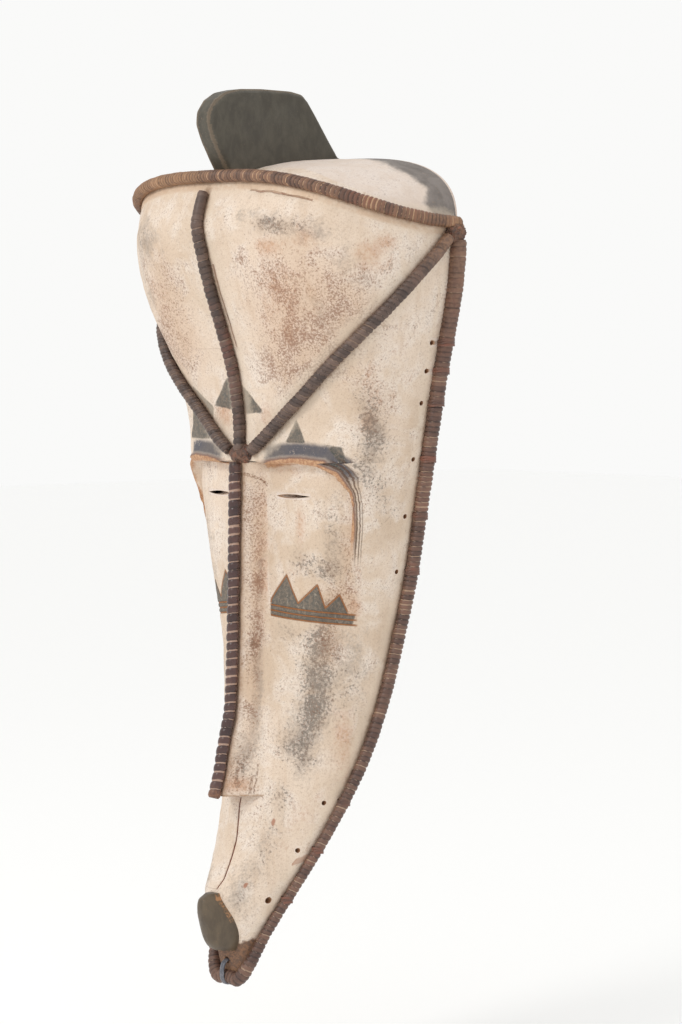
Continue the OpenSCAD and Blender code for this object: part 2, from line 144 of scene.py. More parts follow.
def outer(a, h):
    a, h = np.broadcast_arrays(np.asarray(a, float), np.asarray(h, float))
    n = SQUARE(h)
    x = RIM_X(h) * side(a, n)
    q = np.abs(a) / DIAGONAL(h)
    bulge = np.where((h <= BROW_H) | (q >= 1), 0, BULGE(h) * (1 - q * q))
    y = back_y(h) - (back_y(h) - centre_y(x, h)) * front(a, n) - bulge
    return np.stack([x, y, h], -1)


def top_h(a):
    return CORNER_H + 37 * front(a, TOP_SQUARE) ** 1.9


def back_h(a):
    return CORNER_H + 58 * front(a, TOP_SQUARE) ** 0.9


def cap(a, share):
    edge = outer(a, top_h(a))
    share = np.asarray(share, float)
    dome = 5 * np.sin(math.pi * share) * front(a, TOP_SQUARE)
    return np.stack([
        edge[..., 0] * (1 - CAP_TAPER * share * share),
        edge[..., 1] + (-3 - edge[..., 1]) * share,
        edge[..., 2] + (back_h(a) - edge[..., 2]) * share + dome], -1)


def inner(a, h):
    a, h = np.broadcast_arrays(np.asarray(a, float), np.asarray(h, float))
    ih = np.where(h >= 60, h, 16 + h * 44 / 60)
    n = np.minimum(SQUARE(ih), TOP_SQUARE)
    x = np.maximum(RIM_X(ih) - WALL_SIDE, 2.5) * side(a, n)
    y0 = CENTRE_Y(ih) - 0.7 * BULGE(ih) * (ih > BROW_H)
    y1 = np.where((ih < FACE_LOW) | (ih > FACE_HIGH), y0, FACE_Y(ih))
    y = back_y(ih) - (back_y(ih) - y1 - WALL_FRONT) * front(a, n)
    return np.stack([x, y, ih], -1)


# ---- Small tools ----

def wobble(p, size, seed, octaves=3):
    """Smooth random values from -1 to 1 over points in mm."""
    rng = np.random.default_rng(seed)
    total = np.zeros(p.shape[:-1])
    weight = 0
    for o in range(octaves):
        amp = 0.55**o
        for _ in range(5):
            d = rng.normal(size=3)
            d *= 2 * math.pi / (size * 0.5**o * np.linalg.norm(d) * rng.uniform(0.75, 1.4))
            total += amp * np.sin(p @ d + rng.uniform(0, 6.28)) / 5
        weight += amp
    return np.clip(total / weight * 2.2, -1, 1)


def polygon_sd(points, s, h):
    """Signed distance to a closed outline, positive inside."""
    pts = np.array(points, float)
    best = np.full(s.shape, 1e9)
    inside = np.zeros(s.shape, bool)
    for i in range(len(pts)):
        a, b = pts[i], pts[(i + 1) % len(pts)]
        e = b - a
        t = np.clip(((s - a[0]) * e[0] + (h - a[1]) * e[1]) / (e @ e), 0, 1)
        best = np.minimum(best, np.hypot(s - a[0] - t * e[0], h - a[1] - t * e[1]))
        cross = ((a[1] > h) != (b[1] > h)) & (
            s < (b[0] - a[0]) * (h - a[1]) / (b[1] - a[1] + 1e-12) + a[0])
        inside ^= cross
    return np.where(inside, best, -best)


def blobs(s, h, rows):
    """Sum of soft spots given as (s, h, half width, half height, amount)."""
    out = np.zeros(s.shape)
    for cs, ch, rs, rh, amount in rows:
        out += amount * np.exp(-(((s - cs) / rs) ** 2 + ((h - ch) / rh) ** 2))
    return np.clip(out, 0, 1)


def lin(r, g, b):
    def one(c):
        c /= 255
        return c / 12.92 if c <= 0.04045 else ((c + 0.055) / 1.055) ** 2.4
    return (one(r), one(g), one(b), 1.0)


def make_object(name, verts, faces, material, nodes, attrs=None, sharp=None):
    """A mesh from points in mm above the chin, standing for some of the part's nodes."""
    mesh = bpy.data.meshes.new(name)
    co = (np.asarray(verts, float) - [0, 0, REST_H]) * 0.001
    mesh.from_pydata(co.tolist(), [], faces if isinstance(faces, list) else faces.tolist())
    mesh.validate()
    mesh.shade_smooth()
    for key, values in (attrs or {}).items():
        layer = mesh.attributes.new(key, "FLOAT", "POINT")
        layer.data.foreach_set("value", np.asarray(values, np.float32).ravel())
    if sharp:
        mesh.set_sharp_from_angle(angle=math.radians(sharp))
    mesh.materials.append(material)
    obj = bpy.data.objects.new(name, mesh)
    bpy.context.scene.collection.objects.link(obj)
    if nodes is not None:
        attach(obj, "root")
        if nodes:
            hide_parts(*nodes)
    return obj


def grid_quads(rows, cols, start=0, flip=False, wrap=False):
    """Quads over rows x cols points; wrap closes the columns into a tube."""
    r = np.arange(rows - 1)[:, None]
    c = np.arange(cols if wrap else cols - 1)[None, :]
    a = start + r * cols + c
    b = start + r * cols + (c + 1) % cols
    quads = np.stack([a, b, b + cols, a + cols], -1).reshape(-1, 4)
    return quads[:, ::-1] if flip else quads


# ---- Materials ----

class Paint:
    """A node material written as short steps."""

    def __init__(self, name):
        self.mat = bpy.data.materials.new(name)
        self.mat.use_nodes = True
        self.tree = self.mat.node_tree
        self.bsdf = self.tree.nodes["Principled BSDF"]
        self.coord = self.new("TexCoord").outputs["Object"]

    def new(self, kind):
        return self.tree.nodes.new("ShaderNode" + kind)

    def put(self, value, socket):
        if isinstance(value, bpy.types.NodeSocket):
            self.tree.links.new(value, socket)
        else:
            socket.default_value = value

    def stretch(self, x, y, z):
        node = self.new("Mapping")
        self.put(self.coord, node.inputs["Vector"])
        node.inputs["Scale"].default_value = (x, y, z)
        return node.outputs["Vector"]

    def noise(self, scale, detail=4, rough=0.55, warp=0.0, where=None, w=0.0):
        node = self.new("TexNoise")
        node.noise_dimensions = "4D"
        self.put(self.coord if where is None else where, node.inputs["Vector"])
        node.inputs["W"].default_value = w
        node.inputs["Scale"].default_value = scale
        node.inputs["Detail"].default_value = detail
        node.inputs["Roughness"].default_value = rough
        node.inputs["Distortion"].default_value = warp
        return node.outputs["Fac"]

    def attr(self, name):
        node = self.new("Attribute")
        node.attribute_name = name
        return node.outputs["Fac"]

    def step(self, value, low, high, to_low=0.0, to_high=1.0):
        node = self.new("MapRange")
        node.interpolation_type = "SMOOTHSTEP"
        self.put(value, node.inputs["Value"])
        node.inputs["From Min"].default_value = low
        node.inputs["From Max"].default_value = high
        node.inputs["To Min"].default_value = to_low
        node.inputs["To Max"].default_value = to_high
        return node.outputs["Result"]

    def math(self, op, a, b=0.0, clamp=False):
        node = self.new("Math")
        node.operation = op
        node.use_clamp = clamp
        self.put(a, node.inputs[0])
        self.put(b, node.inputs[1])
        return node.outputs[0]

    def mul(self, a, b):
        return self.math("MULTIPLY", a, b)

    def add(self, a, b):
        return self.math("ADD", a, b)

    def mix(self, share, a, b):
        node = self.new("Mix")
        node.data_type = "RGBA"
        self.put(share, node.inputs["Factor"])
        self.put(a, node.inputs[6])
        self.put(b, node.inputs[7])
        return node.outputs[2]

    def finish(self, colour, rough, height=None, depth=0.0004, strength=0.6):
        self.put(colour, self.bsdf.inputs["Base Color"])
        self.put(rough, self.bsdf.inputs["Roughness"])
        if height is not None:
            bump = self.new("Bump")
            bump.inputs["Strength"].default_value = strength
            bump.inputs["Distance"].default_value = depth
            self.put(height, bump.inputs["Height"])
            self.tree.links.new(bump.outputs["Normal"], self.bsdf.inputs["Normal"])
        return self.mat


def line_at(p, value, at, half):
    """1 within half of value == at, falling off softly."""
    gap = p.math("ABSOLUTE", p.math("SUBTRACT", value, at))
    return p.step(gap, half * 0.45, half * 1.25, 1.0, 0.0)


def nose_marks(p, colour, rag, specks, flecks):
    """Brown root and foot of the nose; returns the colour and the carved lines."""
    root = line_at(p, p.add(p.attr("root"), p.mul(rag, 7)), 0.0, 1.3)
    colour = p.mix(p.mul(p.mul(root, p.step(specks, 0.42, 0.56)), 0.8), colour, lin(118, 78, 52))
    foot = p.step(p.add(p.attr("foot"), p.mul(rag, 4)), 2.2, -0.6)
    colour = p.mix(p.mul(foot, 0.8), colour, lin(150, 112, 76))
    crack = line_at(p, p.add(p.attr("crack"), p.mul(rag, 2.6)), 0.0, 0.3)
    colour = p.mix(p.mul(p.mul(crack, p.step(flecks, 0.4, 0.55)), 0.6), colour,
                   lin(130, 86, 60))
    return colour, crack


def face_areas(p, colour, rag, specks, flecks, mid):
    """Painted areas: cap, chin, brow bead, blue brow and dark patterns."""
    rim = p.add(p.attr("rim"), p.mul(rag, 3))
    capd = p.add(p.attr("cap"), p.mul(p.math("SUBTRACT", mid, 0.5), 26))
    share = p.step(p.add(capd, p.mul(rag, 10)), -5, 6)
    tone = p.mix(p.step(mid, 0.4, 0.66), lin(126, 119, 115), lin(100, 94, 90))
    tone = p.mix(p.mul(p.step(flecks, 0.56, 0.7), 0.5), tone, lin(168, 142, 118))
    pale = p.mul(p.step(p.attr("cap"), -59, -56), 0.45)
    colour = p.mix(pale, colour, lin(222, 210, 204))
    colour = p.mix(p.mul(share, 0.93), colour, tone)
    chin = p.step(p.add(p.attr("chin"), p.mul(rag, 9)), -1, 2)
    tone = p.mix(p.step(flecks, 0.42, 0.6), lin(92, 67, 54), lin(134, 96, 70))
    colour = p.mix(p.mul(chin, 0.92), colour, tone)
    bead = line_at(p, rim, 1.0, 3.6)
    tone = p.mix(p.step(flecks, 0.42, 0.6), lin(164, 114, 80), lin(198, 156, 118))
    tone = p.mix(line_at(p, rim, 3.2, 1.2), tone, lin(128, 94, 78))
    colour = p.mix(p.mul(p.mul(bead, p.attr("rimfade")), 0.9), colour, tone)
    blue = p.mul(line_at(p, rim, 9.2, 6.2), p.attr("bluefade"))
    blue = p.mul(blue, p.step(p.add(flecks, p.mul(mid, 0.8)), 0.62, 0.8))
    tone = p.mix(p.step(mid, 0.42, 0.6), lin(58, 64, 80), lin(86, 82, 84))
    colour = p.mix(p.mul(blue, 0.9), colour, tone)
    dark_sd = p.add(p.attr("dark"), p.mul(rag, 2.5))
    tone = p.mix(p.step(flecks, 0.44, 0.62), lin(76, 76, 72), lin(118, 106, 94))
    tone = p.mix(p.mul(p.step(specks, 0.56, 0.7), 0.6), tone, lin(160, 138, 118))
    colour = p.mix(p.mul(p.step(dark_sd, -0.6, 1.0), 0.9), colour, tone)
    scratch = p.noise(120, 1, 0.4, 0.0, where=p.stretch(2.0, 0.2, 0.55), w=1.1)
    thin = line_at(p, scratch, 0.5, 0.004)
    colour = p.mix(p.mul(p.mul(thin, p.step(dark_sd, -1, 0.5)), 0.4), colour, lin(186, 176, 162))
    return colour, rim


def face_marks(p, colour, rag, flecks, mid, rim):
    """Engraved rows, arcs, cracks and spots; returns the colour and the carved lines."""
    row = p.attr("row")
    engraved = p.math("MAXIMUM", line_at(p, row, 0.0, 0.75), line_at(p, row, 4.2, 0.75))
    engraved = p.math("MAXIMUM", engraved, line_at(p, row, 8.3, 0.75))
    engraved = p.mul(engraved, p.attr("rowfade"))
    sides = p.mul(line_at(p, p.attr("dark"), 0.0, 0.75), p.attr("sidefade"))
    engraved = p.math("MAXIMUM", engraved, sides)
    colour = p.mix(p.mul(engraved, 0.9), colour, lin(158, 104, 64))
    arcs = p.math("MAXIMUM", line_at(p, rim, 5.6, 1.2), line_at(p, rim, 10.4, 1.0))
    arcs = p.math("MAXIMUM", arcs, p.mul(line_at(p, rim, 14.0, 0.8), 0.6))
    arcs = p.mul(arcs, p.attr("arcfade"))
    colour = p.mix(p.mul(arcs, 0.8), colour, lin(104, 78, 62))
    crack = line_at(p, p.add(p.attr("crack"), p.mul(rag, 0.8)), 0.0, 0.75)
    colour = p.mix(crack, colour, lin(122, 62, 42))
    spot = p.step(p.add(p.attr("spot"), p.mul(rag, 0.9)), 0.4, 0.7)
    colour = p.mix(p.mul(spot, 0.75), colour, lin(158, 98, 70))
    lip = p.add(p.attr("lip"), p.mul(rag, 3.5))
    share = p.mul(p.step(lip, 7.0, 4.0), p.step(p.add(mid, p.mul(flecks, 0.5)), 0.55, 0.8))
    colour = p.mix(p.mul(share, 0.7), colour, lin(188, 144, 104))
    # Small pits and the walls of the holes are painted dark brown: painted shade inside the holes.
    hole_shade = p.step(p.attr("hole_shade"), 0.5, 0.6)
    colour = p.mix(hole_shade, colour, lin(60, 42, 34))
    return colour, p.math("MAXIMUM", p.math("MAXIMUM", engraved, crack), arcs)


def kaolin_material(name, nose=False):
    p = Paint(name)
    p.bsdf.inputs["Specular IOR Level"].default_value = 0.25
    big = p.noise(8, 4, 0.6, 0.8)
    mid = p.noise(38, 5, 0.62, 0.5, w=3.1)
    fine = p.noise(420, 4, 0.65, w=1.7)
    grit = p.noise(1000, 3, 0.6, w=5.2)
    streak = p.noise(75, 5, 0.65, where=p.stretch(1, 1, 0.09), w=2.0)
    colour = p.mix(p.step(big, 0.36, 0.66), lin(228, 210, 192), lin(211, 190, 168))
    colour = p.mix(p.mul(p.step(mid, 0.42, 0.62), 0.6), colour, lin(238, 228, 218))
    colour = p.mix(p.mul(p.step(streak, 0.5, 0.7), 0.5), colour, lin(204, 178, 152))
    colour = p.mix(p.mul(p.step(grit, 0.5, 0.64), 0.34), colour, lin(176, 150, 128))
    colour = p.mix(p.mul(p.step(fine, 0.52, 0.64), 0.3), colour, lin(190, 166, 144))
    patchy = p.mul(p.math("SUBTRACT", mid, 0.5), 0.9)
    ochre = p.attr("ochre")
    share = p.step(p.add(p.add(p.mul(mid, 0.7), p.mul(fine, 0.3)), p.mul(ochre, 0.3)), 0.58, 0.88)
    colour = p.mix(p.mul(share, 0.68), colour, lin(186, 134, 94))
    grey = p.attr("grey")
    veil = p.add(p.mul(p.noise(60, 5, 0.65, 0.6, w=7.7), 0.6), p.mul(fine, 0.4))
    share = p.step(p.add(veil, p.mul(grey, 0.26)), 0.58, 0.84)
    colour = p.mix(p.mul(share, 0.68), colour, lin(150, 140, 131))
    worn = p.attr("worn")
    flecks = p.noise(430, 5, 0.72, 0.25, w=4.4)
    colour = p.mix(p.mul(worn, 0.34), colour, lin(174, 155, 140))
    share = p.step(p.add(p.add(flecks, p.mul(worn, 0.17)), p.mul(patchy, 0.5)), 0.6, 0.74)
    patch = p.mix(p.step(mid, 0.42, 0.6), lin(112, 88, 74), lin(120, 112, 103))
    colour = p.mix(p.mul(share, 0.74), colour, patch)
    brown = p.attr("brown")
    specks = p.noise(640, 4, 0.7, 0.2, w=8.8)
    colour = p.mix(p.mul(brown, 0.3), colour, lin(196, 158, 128))
    share = p.step(p.add(p.add(specks, p.mul(brown, 0.13)), p.mul(patchy, 0.6)), 0.56, 0.74)
    colour = p.mix(p.mul(share, 0.74), colour, lin(136, 98, 76))
    pits = p.step(p.noise(560, 3, 0.5, w=9.1), 0.67, 0.76)
    colour = p.mix(p.mul(pits, 0.6), colour, lin(110, 80, 62))
    rag = p.math("SUBTRACT", p.noise(260, 5, 0.7, w=6.3), 0.5)
    if nose:
        colour, dark = nose_marks(p, colour, rag, specks, flecks)
    else:
        colour, rim = face_areas(p, colour, rag, specks, flecks, mid)
        colour, dark = face_marks(p, colour, rag, flecks, mid, rim)
    band = p.attr("band")
    soft = p.step(p.add(band, p.mul(rag, 12)), 11, 4)
    soft = p.mul(soft, p.step(p.attr("chin"), 0, -4))
    colour = p.mix(p.mul(soft, 0.4), colour, lin(232, 214, 192))
    seam = p.step(p.add(band, p.mul(rag, 5)), 2.4, -0.8)
    colour = p.mix(p.mul(seam, 0.7), colour, lin(150, 114, 86))
    height = p.add(p.mul(fine, 0.5), p.mul(grit, 0.25))
    height = p.add(height, p.mul(mid, 1.1))
    height = p.add(height, p.mul(p.step(p.add(flecks, p.mul(worn, 0.2)), 0.6, 0.74), -0.6))
    height = p.add(height, p.mul(pits, -0.5))
    height = p.add(height, p.mul(dark, -1.6))
    rough = p.step(mid, 0.3, 0.7, 0.62, 0.82)
    return p.finish(colour, rough, height, 0.0006, 0.7)


def wrap_material(name, dark, mid_tone, warm, pale, gloss):
    """Split cane wound round a core: each turn has its own tone, the flanks of the gaps are darkened
    as painted shade, and the gaps hold dust.
    """
    p = Paint(name)
    rib = p.attr("rib")
    gap = p.attr("gap")
    tone = p.attr("tone")
    red = p.attr("red")
    n1 = p.noise(60, 4, 0.6, 0.3)
    n2 = p.noise(380, 5, 0.7, w=2.5)
    fibre = p.noise(900, 3, 0.6, w=4.5)
    stray = p.math("SUBTRACT", n1, 0.5)
    colour = p.mix(p.step(p.add(p.mul(rib, 0.3), p.mul(n1, 0.9)), 0.3, 0.95), dark, mid_tone)
    colour = p.mix(p.mul(p.step(p.add(red, p.mul(stray, 1.3)), 0.3, 1.0), 0.8), colour,
                   lin(122, 62, 46))
    colour = p.mix(p.mul(p.step(p.add(tone, p.mul(p.math("SUBTRACT", n2, 0.5), 1.3)), 0.35, 1.0),
                         0.85), colour, warm)
    colour = p.mix(p.mul(p.step(n2, 0.56, 0.72), 0.5), colour, dark)
    # Painted shade: the flanks of the gaps between turns are darkened.
    gap_shade = p.step(gap, 0.12, 0.4)
    colour = p.mix(p.mul(gap_shade, 0.6), colour, lin(48, 34, 30))
    dusty = p.add(p.add(gap, p.mul(stray, 0.7)), p.mul(p.math("SUBTRACT", rib, 0.5), 0.5))
    dust = p.step(dusty, 0.42, 0.7)
    colour = p.mix(p.mul(dust, 0.85), colour, pale)
    height = p.add(p.mul(n2, 0.6), p.mul(fibre, 0.4))
    rough = p.step(p.add(p.mul(n1, 0.6), p.mul(tone, 0.3)), 0.25, 0.75, gloss, gloss + 0.3)
    return p.finish(colour, rough, height, 0.0004, 0.6)


def wood_material(name, dark, light, edge, rough=0.6, grain=(1, 1, 0.12), wear=0.5):
    """Stained carved wood with grain along Z; the attribute "edge" shows bare wood."""
    p = Paint(name)
    g = p.noise(120, 5, 0.65, 0.4, where=p.stretch(*grain))
    n = p.noise(14, 4, 0.6, 0.5, w=3.3)
    f = p.noise(520, 4, 0.7, w=6.0)
    colour = p.mix(p.step(g, 0.34, 0.68), dark, light)
    colour = p.mix(p.mul(p.step(n, 0.42, 0.7), 0.45), colour, light)
    colour = p.mix(p.mul(p.step(f, 0.60, 0.74), 0.35), colour, edge)
    worn = p.step(p.add(p.attr("edge"), p.mul(p.math("SUBTRACT", f, 0.5), 1.5)), 0.45, 0.85)
    colour = p.mix(p.mul(worn, wear), colour, edge)
    height = p.add(p.mul(g, 0.9), p.mul(f, 0.5))
    return p.finish(colour, p.step(n, 0.3, 0.7, rough - 0.08, rough + 0.12), height, 0.0005, 0.55)


def resin_material(name):
    p = Paint(name)
    n = p.noise(110, 5, 0.65, 0.5)
    f = p.noise(420, 5, 0.7, w=2.2)
    colour = p.mix(p.step(n, 0.38, 0.62), lin(78, 58, 51), lin(122, 92, 75))
    colour = p.mix(p.mul(p.step(f, 0.50, 0.64), 0.5), colour, lin(164, 100, 74))
    colour = p.mix(p.mul(p.step(f, 0.32, 0.46, 1.0, 0.0), 0.7), colour, lin(58, 42, 37))
    return p.finish(colour, p.step(f, 0.3, 0.7, 0.45, 0.8), p.add(n, p.mul(f, 0.8)), 0.0014, 0.9)


def metal_material(name):
    p = Paint(name)
    n = p.noise(260, 4, 0.6)
    colour = p.mix(p.step(n, 0.4, 0.65), lin(96, 98, 106), lin(140, 138, 142))
    p.bsdf.inputs["Metallic"].default_value = 0.35
    return p.finish(colour, p.step(n, 0.3, 0.7, 0.35, 0.6), n, 0.0002, 0.4)


KAOLIN = kaolin_material("kaolin")
KAOLIN_NOSE = kaolin_material("kaolin_nose", nose=True)
DARK_WOOD = wood_material("dark_wood", lin(66, 61, 52), lin(82, 77, 66), lin(128, 110, 90), 0.6,
                          (1, 1, 0.5))
MOUTH_WOOD = wood_material("mouth_wood", lin(78, 66, 52), lin(98, 84, 66), lin(172, 124, 84), 0.45,
                           (1, 1, 0.3), 0.9)
DOWEL_WOOD = wood_material("dowel_wood", lin(150, 112, 74), lin(176, 138, 96), lin(190, 156, 116))
CANE = wood_material("bare_cane", lin(104, 92, 82), lin(138, 126, 114), lin(158, 120, 86), 0.55,
                     (1, 1, 1), 0.8)
EDGE_WRAP = wrap_material("edge_wrap", lin(78, 55, 48), lin(124, 92, 76), lin(150, 118, 92),
                          lin(176, 146, 122), 0.4)
TOP_WRAP = wrap_material("top_wrap", lin(92, 66, 54), lin(140, 104, 80), lin(170, 130, 94),
                         lin(202, 162, 128), 0.42)
DIAGONAL_WRAP = wrap_material("diagonal_wrap", lin(62, 48, 43), lin(112, 90, 79),
                              lin(164, 124, 94), lin(134, 110, 94), 0.42)
NOSE_WRAP = wrap_material("nose_wrap", lin(56, 38, 38), lin(96, 68, 62), lin(152, 108, 78),
                          lin(184, 152, 134), 0.25)
RESIN = resin_material("resin")
STAPLE = metal_material("staple_cane")


# ---- The shell ----

NC = 256
FACE_STEPS = 260
TOP_STEPS = 22
CAP_STEPS = 38


def dense_heights():
    h = np.arange(8, LEVEL_H + 0.01, 0.25)
    need = np.full(h.shape, 1 / 2.6)
    need += ((h > 284) & (h < 330)) / 1.7
    need += ((h > 398) & (h < 420)) / 1.5
    need += (h < 24) / 2.5
    total = np.concatenate([[0], np.cumsum(need[:-1])])
    return np.interp(np.linspace(0, total[-1], FACE_STEPS + 1), total, h)


def angles_for(h):
    """Angles that space the columns evenly round a level section, closer on the face."""
    t = np.linspace(-1, 1, 1601)
    a = np.sign(t) * SIDE_ANGLE * np.abs(t) ** 2.4
    p = outer(a, h)
    step = np.linalg.norm(np.diff(p, axis=0), axis=1)
    x = (np.abs(p[1:, 0]) + np.abs(p[:-1, 0])) / 2
    weight = 1 + 0.5 * (x < 0.72 * RIM_X(h))
    total = np.concatenate([[0], np.cumsum(step * weight)])
    return np.interp(np.linspace(0, total[-1], NC + 1), total, a)


def arc_length(points):
    """Distance round each row from the middle column, in mm."""
    step = np.linalg.norm(np.diff(points, axis=1), axis=2)
    s = np.concatenate([np.zeros((len(points), 1)), np.cumsum(step, 1)], 1)
    return s - s[:, NC // 2:NC // 2 + 1]


face_h = dense_heights()
face_a = np.array([angles_for(h) for h in face_h])
face_a[:, NC // 2] = 0
last_a = face_a[-1]
points = [outer(a, h) for a, h in zip(face_a, face_h)]
for k in range(1, TOP_STEPS + 1):
    points.append(outer(last_a, LEVEL_H + (top_h(last_a) - LEVEL_H) * k / TOP_STEPS))
for k in range(1, CAP_STEPS + 1):
    points.append(cap(last_a, k / CAP_STEPS))
OUT = np.array(points)
ROWS = len(OUT)
FRONT_ROWS = FACE_STEPS + TOP_STEPS + 1
S = arc_length(OUT)
H = OUT[..., 2]
IS_CAP = np.zeros(S.shape, bool)
IS_CAP[FRONT_ROWS:] = True

# Zones on the face, in (distance round, height).
ARCH = [(-89, 296), (-93, 342), (-98, 378), (-100, 391), (-95, 406), (-82, 414), (-63, 416),
        (-44, 415), (-24, 412), (0, 410), (24, 412), (44, 415), (63, 416), (82, 414), (95, 406),
        (100, 391), (98, 378), (93, 342), (89, 296)]
rim_sd = -polygon_sd(ARCH, S, H)
rim_sd = rim_sd * (1 + 0.8 * ease((404 - H) / 14))
CHEEK = [(21, 306), (38, 326), (48, 304), (65, 319), (70, 300.5), (82, 311), (88, 296), (94, 294.5),
         (91, 286), (20, 293)]
CHEEK_LEFT = [(-x, h) for x, h in CHEEK]
PATCHES = [
    [(4, 475), (12, 468), (27, 453), (4, 452)],
    [(-4, 484), (-14, 480), (-34, 458), (-4, 454)],
    [(58, 449), (67, 430), (47, 430)],
    [(-66, 474), (-36, 457), (-44, 431), (-82, 431)],
    [(84, 429), (97, 427.5), (100, 418), (104, 406), (98, 411)],
]
cheek_sd = np.maximum(polygon_sd(CHEEK, S, H), polygon_sd(CHEEK_LEFT, S, H))
patch_sd = np.full(S.shape, -1e3)
for patch in PATCHES:
    patch_sd = np.maximum(patch_sd, polygon_sd(patch, S, H))
dark_sd = np.maximum(cheek_sd, patch_sd)
row_c = (302 - 0.1 * (np.abs(S) - 20)) - H
row_fade = ease((np.abs(S) - 19) / 1.5) * ease((96 - np.abs(S)) / 3) * (np.abs(row_c - 4) < 8)
side_fade = (np.abs(H - 312) < 20) * (np.abs(S) > 19) * (np.abs(S) < 90) * (row_c < -1.5)
rim_fade = ease((H - 338) / 22) * (H < 424) * ease((np.abs(S) - 10) / 10)
blue_fade = (
    ease((np.abs(S) - 22) / 8) * ease((H - 395) / 14) * np.where(S > 0, 1, ease((78 + S) / 6))
    * (H < 436))
arc_fade = ease((S - 84) / 8) * ease((H - 330) / 18) * ease((420 - H) / 6)

worn = blobs(S, H, [
    (74, 300, 9, 12, 0.6), (66, 276, 10, 16, 0.9), (62, 246, 12, 24, 1.0), (60, 216, 12, 18, 1.0),
    (52, 184, 10, 16, 0.9), (38, 196, 9, 12, 0.7), (37, 150, 9, 13, 0.7), (86, 236, 14, 22, 0.45),
    (79, 384, 10, 14, 0.3), (80, 352, 9, 16, 0.75), (76, 331, 14, 10, 0.95), (52, 337, 10, 12, 0.65),
    (38, 280, 14, 12, 0.5), (86, 596, 26, 7, 1.0), (70, 600, 10, 5, 0.7), (118, 452, 9, 22, 0.75),
    (126, 436, 12, 20, 0.6), (116, 410, 10, 18, 0.6), (126, 380, 8, 30, 0.4),
    (-76, 360, 12, 26, 0.6), (-66, 300, 10, 18, 0.6), (-62, 246, 12, 30, 0.8), (-90, 590, 20, 12, 0.5),
    (-110, 440, 14, 26, 0.6), (30, 92, 12, 18, 0.4), (22, 66, 8, 10, 0.5), (36, 120, 12, 16, 0.35),
])
brown = blobs(S, H, [
    (86, 309, 9, 11, 1.0), (90, 560, 44, 34, 0.75), (76, 510, 30, 30, 0.9),
    (52, 490, 20, 22, 0.8), (118, 540, 26, 24, 0.7),
    (40, 540, 14, 40, 0.35), (98, 500, 24, 24, 0.7), (74, 300, 12, 18, 0.8), (72, 270, 10, 14, 0.8),
    (90, 342, 6, 30, 0.9), (104, 404, 6, 10, 0.6), (47, 388, 15, 2.4, 1.0),
    (-47, 388, 15, 2.4, 1.0), (-60, 545, 26, 40, 0.8), (-84, 500, 22, 34, 0.8),
    (-50, 505, 20, 26, 0.6), (130, 455, 16, 24, 0.35), (140, 530, 20, 20, 0.3),
])
ochre = blobs(S, H, [
    (104, 588, 16, 10, 0.8), (150, 576, 16, 12, 0.9), (170, 586, 10, 8, 0.7), (70, 582, 18, 8, 0.8),
    (90, 550, 40, 30, 0.55), (60, 520, 30, 30, 0.5), (30, 450, 12, 14, 0.8), (-20, 450, 14, 16, 0.9),
    (52, 362, 6, 30, 0.7), (40, 330, 10, 16, 0.4), (92, 300, 8, 14, 0.9), (100, 340, 8, 30, 0.4),
    (78, 200, 12, 40, 0.6), (90, 170, 10, 50, 0.6), (60, 140, 14, 30, 0.5), (120, 470, 20, 40, 0.4),
    (-70, 540, 26, 40, 0.6), (-48, 380, 10, 10, 0.5), (46, 100, 12, 30, 0.5), (160, 500, 16, 60, 0.35),
    (118, 446, 6, 8, 0.9), (36, 408, 16, 5, 0.8), (-80, 260, 16, 60, 0.5),
])
grey = blobs(S, H, [
    (60, 606, 34, 8, 0.8), (110, 590, 24, 10, 0.8), (132, 566, 14, 18, 0.7), (150, 556, 12, 14, 0.6),
    (-80, 590, 30, 22, 0.9), (-96, 550, 16, 24, 0.7), (62, 240, 20, 50, 0.7), (50, 190, 16, 30, 0.8),
    (90, 256, 20, 30, 0.6), (122, 430, 14, 40, 0.8), (80, 360, 14, 30, 0.6), (22, 76, 14, 22, 0.9),
    (30, 110, 14, 26, 0.5), (-30, 80, 16, 24, 0.9), (96, 540, 20, 22, 0.5), (110, 520, 24, 18, 0.45),
    (-64, 330, 16, 50, 0.6), (28, 300, 8, 40, 0.3),
])
spot = blobs(S, H, [(25, 82, 2.4, 2.4, 1.0), (34, 131, 2.2, 4.0, 0.9), (52, 176, 3, 7, 0.35)])
# Small pits beside the bands; their dark brown is painted shade inside holes.
hole_shade = blobs(S, H, [(173, 576, 1.3, 1.3, 1.0), (66, 548, 1.2, 1.2, 0.8), (150, 540, 1.0, 2.0, 0.8)])

crack = np.full(S.shape, 50.0)
keel_s = np.interp(H, [70, 85, 114, 147], [-3, 2.5, 1, 0])
on = (H > 76) & (H < 149) & ~IS_CAP
crack[on] = (S - keel_s)[on]
beside = np.interp(H, [500, 530, 572], [6.6, 5.6, 5.2])
on = (H > 502) & (H < 570) & ~IS_CAP
crack[on] = (S - beside)[on]

# Paint on the cap: dark from the back edge down to a slanted, ragged line.
share_back = np.zeros(S.shape)
share_back[FRONT_ROWS:] = (np.arange(1, CAP_STEPS + 1) / CAP_STEPS)[:, None]
cross = np.abs(OUT[..., 0]) / HALF_WIDTH
line = 0.84 - 0.12 * ease((cross - 0.35) / 0.4) - 0.4 * ease((cross - 0.88) / 0.12)
cap_sd = np.where(IS_CAP, (share_back - line) * 110, -60.0)

chin_sd = np.where(IS_CAP, -50, 33 + 0.2 * np.abs(S) - H)


